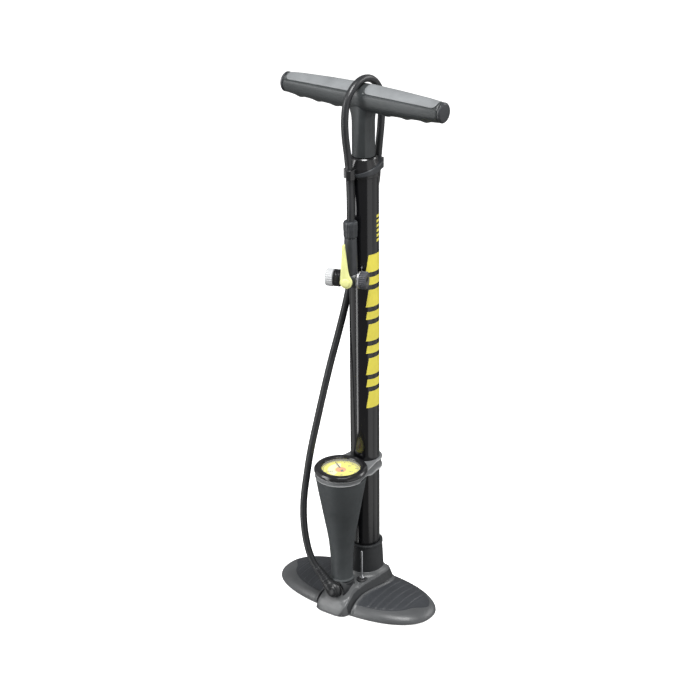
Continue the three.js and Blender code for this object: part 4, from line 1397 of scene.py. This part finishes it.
def relief_shape():
    """A tapered sleeve with rings round it."""
    profile = [(0, RELIEF_START), (6.7, RELIEF_START)]
    for i in range(RELIEF_RINGS):
        at = RELIEF_START + 1 + i * RELIEF_PITCH
        wide = 6.6 - 1.15 * i / RELIEF_RINGS
        profile += [(wide, at), (wide, at + 1.5), (wide - 0.45, at + 1.7), (wide - 0.45, at + 2.3)]
    profile += [(5.1, RELIEF_END - 0.6), (4.8, RELIEF_END), (0, RELIEF_END)]
    return aimed(turned(profile, 64, 0.25), HOSE_EXIT, SWIVEL_CENTRE)


def add_swivel():
    piece("swivel_elbow", elbow_shape(), "satin", node="hose_swivel")
    piece("swivel_cover_bolt", bolt_shape(), "satin", node="swivel_bolt")
    relief = relief_shape()
    return piece("hose_relief_sleeve", relief, "hose", node="hose_strain_relief")


# ---- Chuck ----

LEVER_PIVOT_X = -2
LEVER_PIVOT_Z = 0.5
LEVER_BACK = 11.2
LEVER_FRONT = 15
PORT_R = 10.7
CHUCK_BORE = 3.5
COLLAR_END = 73.2
NUT_RIBS = 26
NUT_RIB_DEPTH = 0.05


def ribbed(count, depth, share=0.5):
    """A factor on a circle's radius that gives it straight ribs."""

    def swell(angle):
        wave = (angle * count / (2 * pi)) % 1
        up = smoothstep(0, 0.16, wave) * smoothstep(share + 0.16, share, wave)
        return 1 - depth * (1 - up)

    return swell


def chuck_shape():
    """The body: a neck up to the collar, a head along X with its bore, and the lever's boss in front."""
    neck = turned([(0, 4), (7.4, 4), (8.2, 8), (8.2, 22), (7.7, 40), (7.3, 52.8), (0, 52.8)], 72, 0.9)
    head = along_x(turned([
        (CHUCK_BORE, -22.6), (4.4, -22.6), (4.4, -24), (7.9, -24), (7.9, -11.4), (9.6, -11.2), (9.9, -6),
        (9.9, 4), (9.4, 7.8), (6.9, 8), (6.9, 14.8), (CHUCK_BORE, 14.8),
    ], 72, 0.6, loop=True))
    boss_end = LEVER_BACK - 0.2
    boss = along_front(turned([(0, 4), (6.8, 4), (6.6, boss_end), (0, boss_end)], 56, 0.4))
    return joined(neck, head, shifted(boss, LEVER_PIVOT_X, 0, LEVER_PIVOT_Z))


def nut_shape(mouth, face, bore, swell):
    """A port nut between two places on X, with its hole in the face that is further out."""
    way = 1 if face > mouth else -1
    low, high = sorted((mouth * way, face * way))
    shape = turned([
        (8.4, low), (PORT_R - 0.7, low), (PORT_R, low + 0.8), (PORT_R, high - 1.1), (PORT_R - 1, high),
        (bore + 1.6, high), (bore, high - 0.8), (bore, high - 3), (8.4, high - 3),
    ], 240, 0.35, loop=True, swell=swell)
    if way < 0:
        shape = moved(shape, Matrix.Rotation(pi, 4, "Y"))
    return along_x(shape)


def lever_outline():
    """A tapered thumb lever over a round pivot disc."""
    disc = arc(7.4, radians(160), radians(384), 40)
    right = [(5.6, 5), (3.6, 8.6), (2.4, 14), (1.2, 24), (-0.2, 36), (-1.2, 44)]
    tip = arc(1.7, radians(10), radians(180), 10, -2.8, 46)
    left = [(-4.7, 42), (-5.2, 32), (-5.9, 20), (-6.5, 10)]
    return disc + right + tip + left


def lever_place(shape):
    return in_chuck(shifted(along_front(shape), LEVER_PIVOT_X, 0, LEVER_PIVOT_Z))


def collar_shape():
    return turned([
        (0, 53.2), (7.9, 53.2), (8.2, 56), (8.2, 61), (8.5, 62), (8.5, 70.4), (7.6, 72.6),
        (5.2, COLLAR_END), (0, COLLAR_END),
    ], 240, 0.6, swell=ribbed(12, 0.055, 0.62))


def left_ring_shape():
    """A ring with a groove round it."""
    return along_x(turned([
        (8.2, -20), (9.9, -20), (10.3, -19.2), (10.3, -16.6), (9.7, -16), (10.3, -15.4), (10.3, -12.2),
        (9.6, -11.6), (8.2, -11.6),
    ], 96, 0.3, loop=True))


def right_ring_shape():
    return along_x(turned([
        (7.2, 8.3), (9.6, 8.3), (10.4, 9), (10.4, 11), (9.8, 11.7), (7.2, 11.7),
    ], 96, 0.3, loop=True))


def pivot_cap_shape():
    front = LEVER_FRONT
    return turned([
        (0, 5.8), (1.7, 5.8), (1.7, front - 0.6), (5, front - 0.6), (5, front + 0.5), (4.2, front + 1.2),
        (0, front + 1.4),
    ], 56, 0.4)


def add_chuck():
    """Adds the chuck and returns its objects, which hang on the hose's end."""
    nut_ribs = ribbed(NUT_RIBS, NUT_RIB_DEPTH)
    fixed = [
        ("chuck_head", chuck_shape(), "chuck", "chuck_body", "black_plastic"),
        ("chuck_hose_collar", collar_shape(), "chuck", "chuck_collar", "black_plastic"),
        ("port_left_collar", left_ring_shape(), "gloss", "port_ring_left", "nut_grey"),
        ("port_right_collar", right_ring_shape(), "steel", "port_ring_right", "chrome"),
        ("port_left_nut", nut_shape(-20.4, -29.6, 4.4, nut_ribs), "pale", "port_nut_left", "pale_plastic"),
        ("port_right_nut", nut_shape(12.1, 20.4, 3.8, nut_ribs), "nut", "port_nut_right", "nut_grey"),
    ]
    made = []
    for name, shape, look, node, slot in fixed:
        made.append(piece(name, in_chuck(shape), look, node=node))
    lever = lever_place(prism(lever_outline(), LEVER_BACK, LEVER_FRONT, 0.8))
    made.append(piece("chuck_thumb_lever", lever, "lever", "lever", "chuck_lever", 30))
    pin = lever_place(pivot_cap_shape())
    made.append(piece("lever_pivot_cap", pin, "lever", node="lever_pin"))
    made += [NODES[name] for name in ("port_gasket_left", "port_gasket_right", "chuck_shuttle")]
    return made


# ---- Ball needle ----


def add_needle():
    seat = DECK_Z
    grommet = shifted(turned([
        (3.1, seat - 2.9), (5.2, seat - 2.9), (5.2, seat + 0.2), (4.6, seat + 0.6), (3.1, seat + 0.5),
    ], 48, 0.25, loop=True), NEEDLE_X, NEEDLE_Y)
    piece("needle_seat_ring", grommet, "rubber", node="needle_grommet")
    tip = NEEDLE_TIP_Z
    needle = shifted(turned([
        (0, seat - 7), (2.4, seat - 7), (2.4, seat + 0.7), (3, seat + 0.7), (3, seat + 2), (2.2, seat + 3),
        (1.5, seat + 5), (1.15, seat + 7), (1.15, tip - 1.8), (0.7, tip - 0.4), (0, tip),
    ], 40, 0.3), NEEDLE_X, NEEDLE_Y)
    piece("inflation_needle", needle, "steel", "ball_needle", "ball_needle")


# ---- Assembly ----

add_camera()
hose, hose_path, hose_length = add_hose()
add_studio()
add_floor()
dress_nodes()
add_foot()
add_barrel()
add_print()
add_cap()
add_handle()
add_rod()
add_tower()
add_bracket()
add_gauge()
relief = add_swivel()
chuck_pieces = add_chuck()
add_needle()
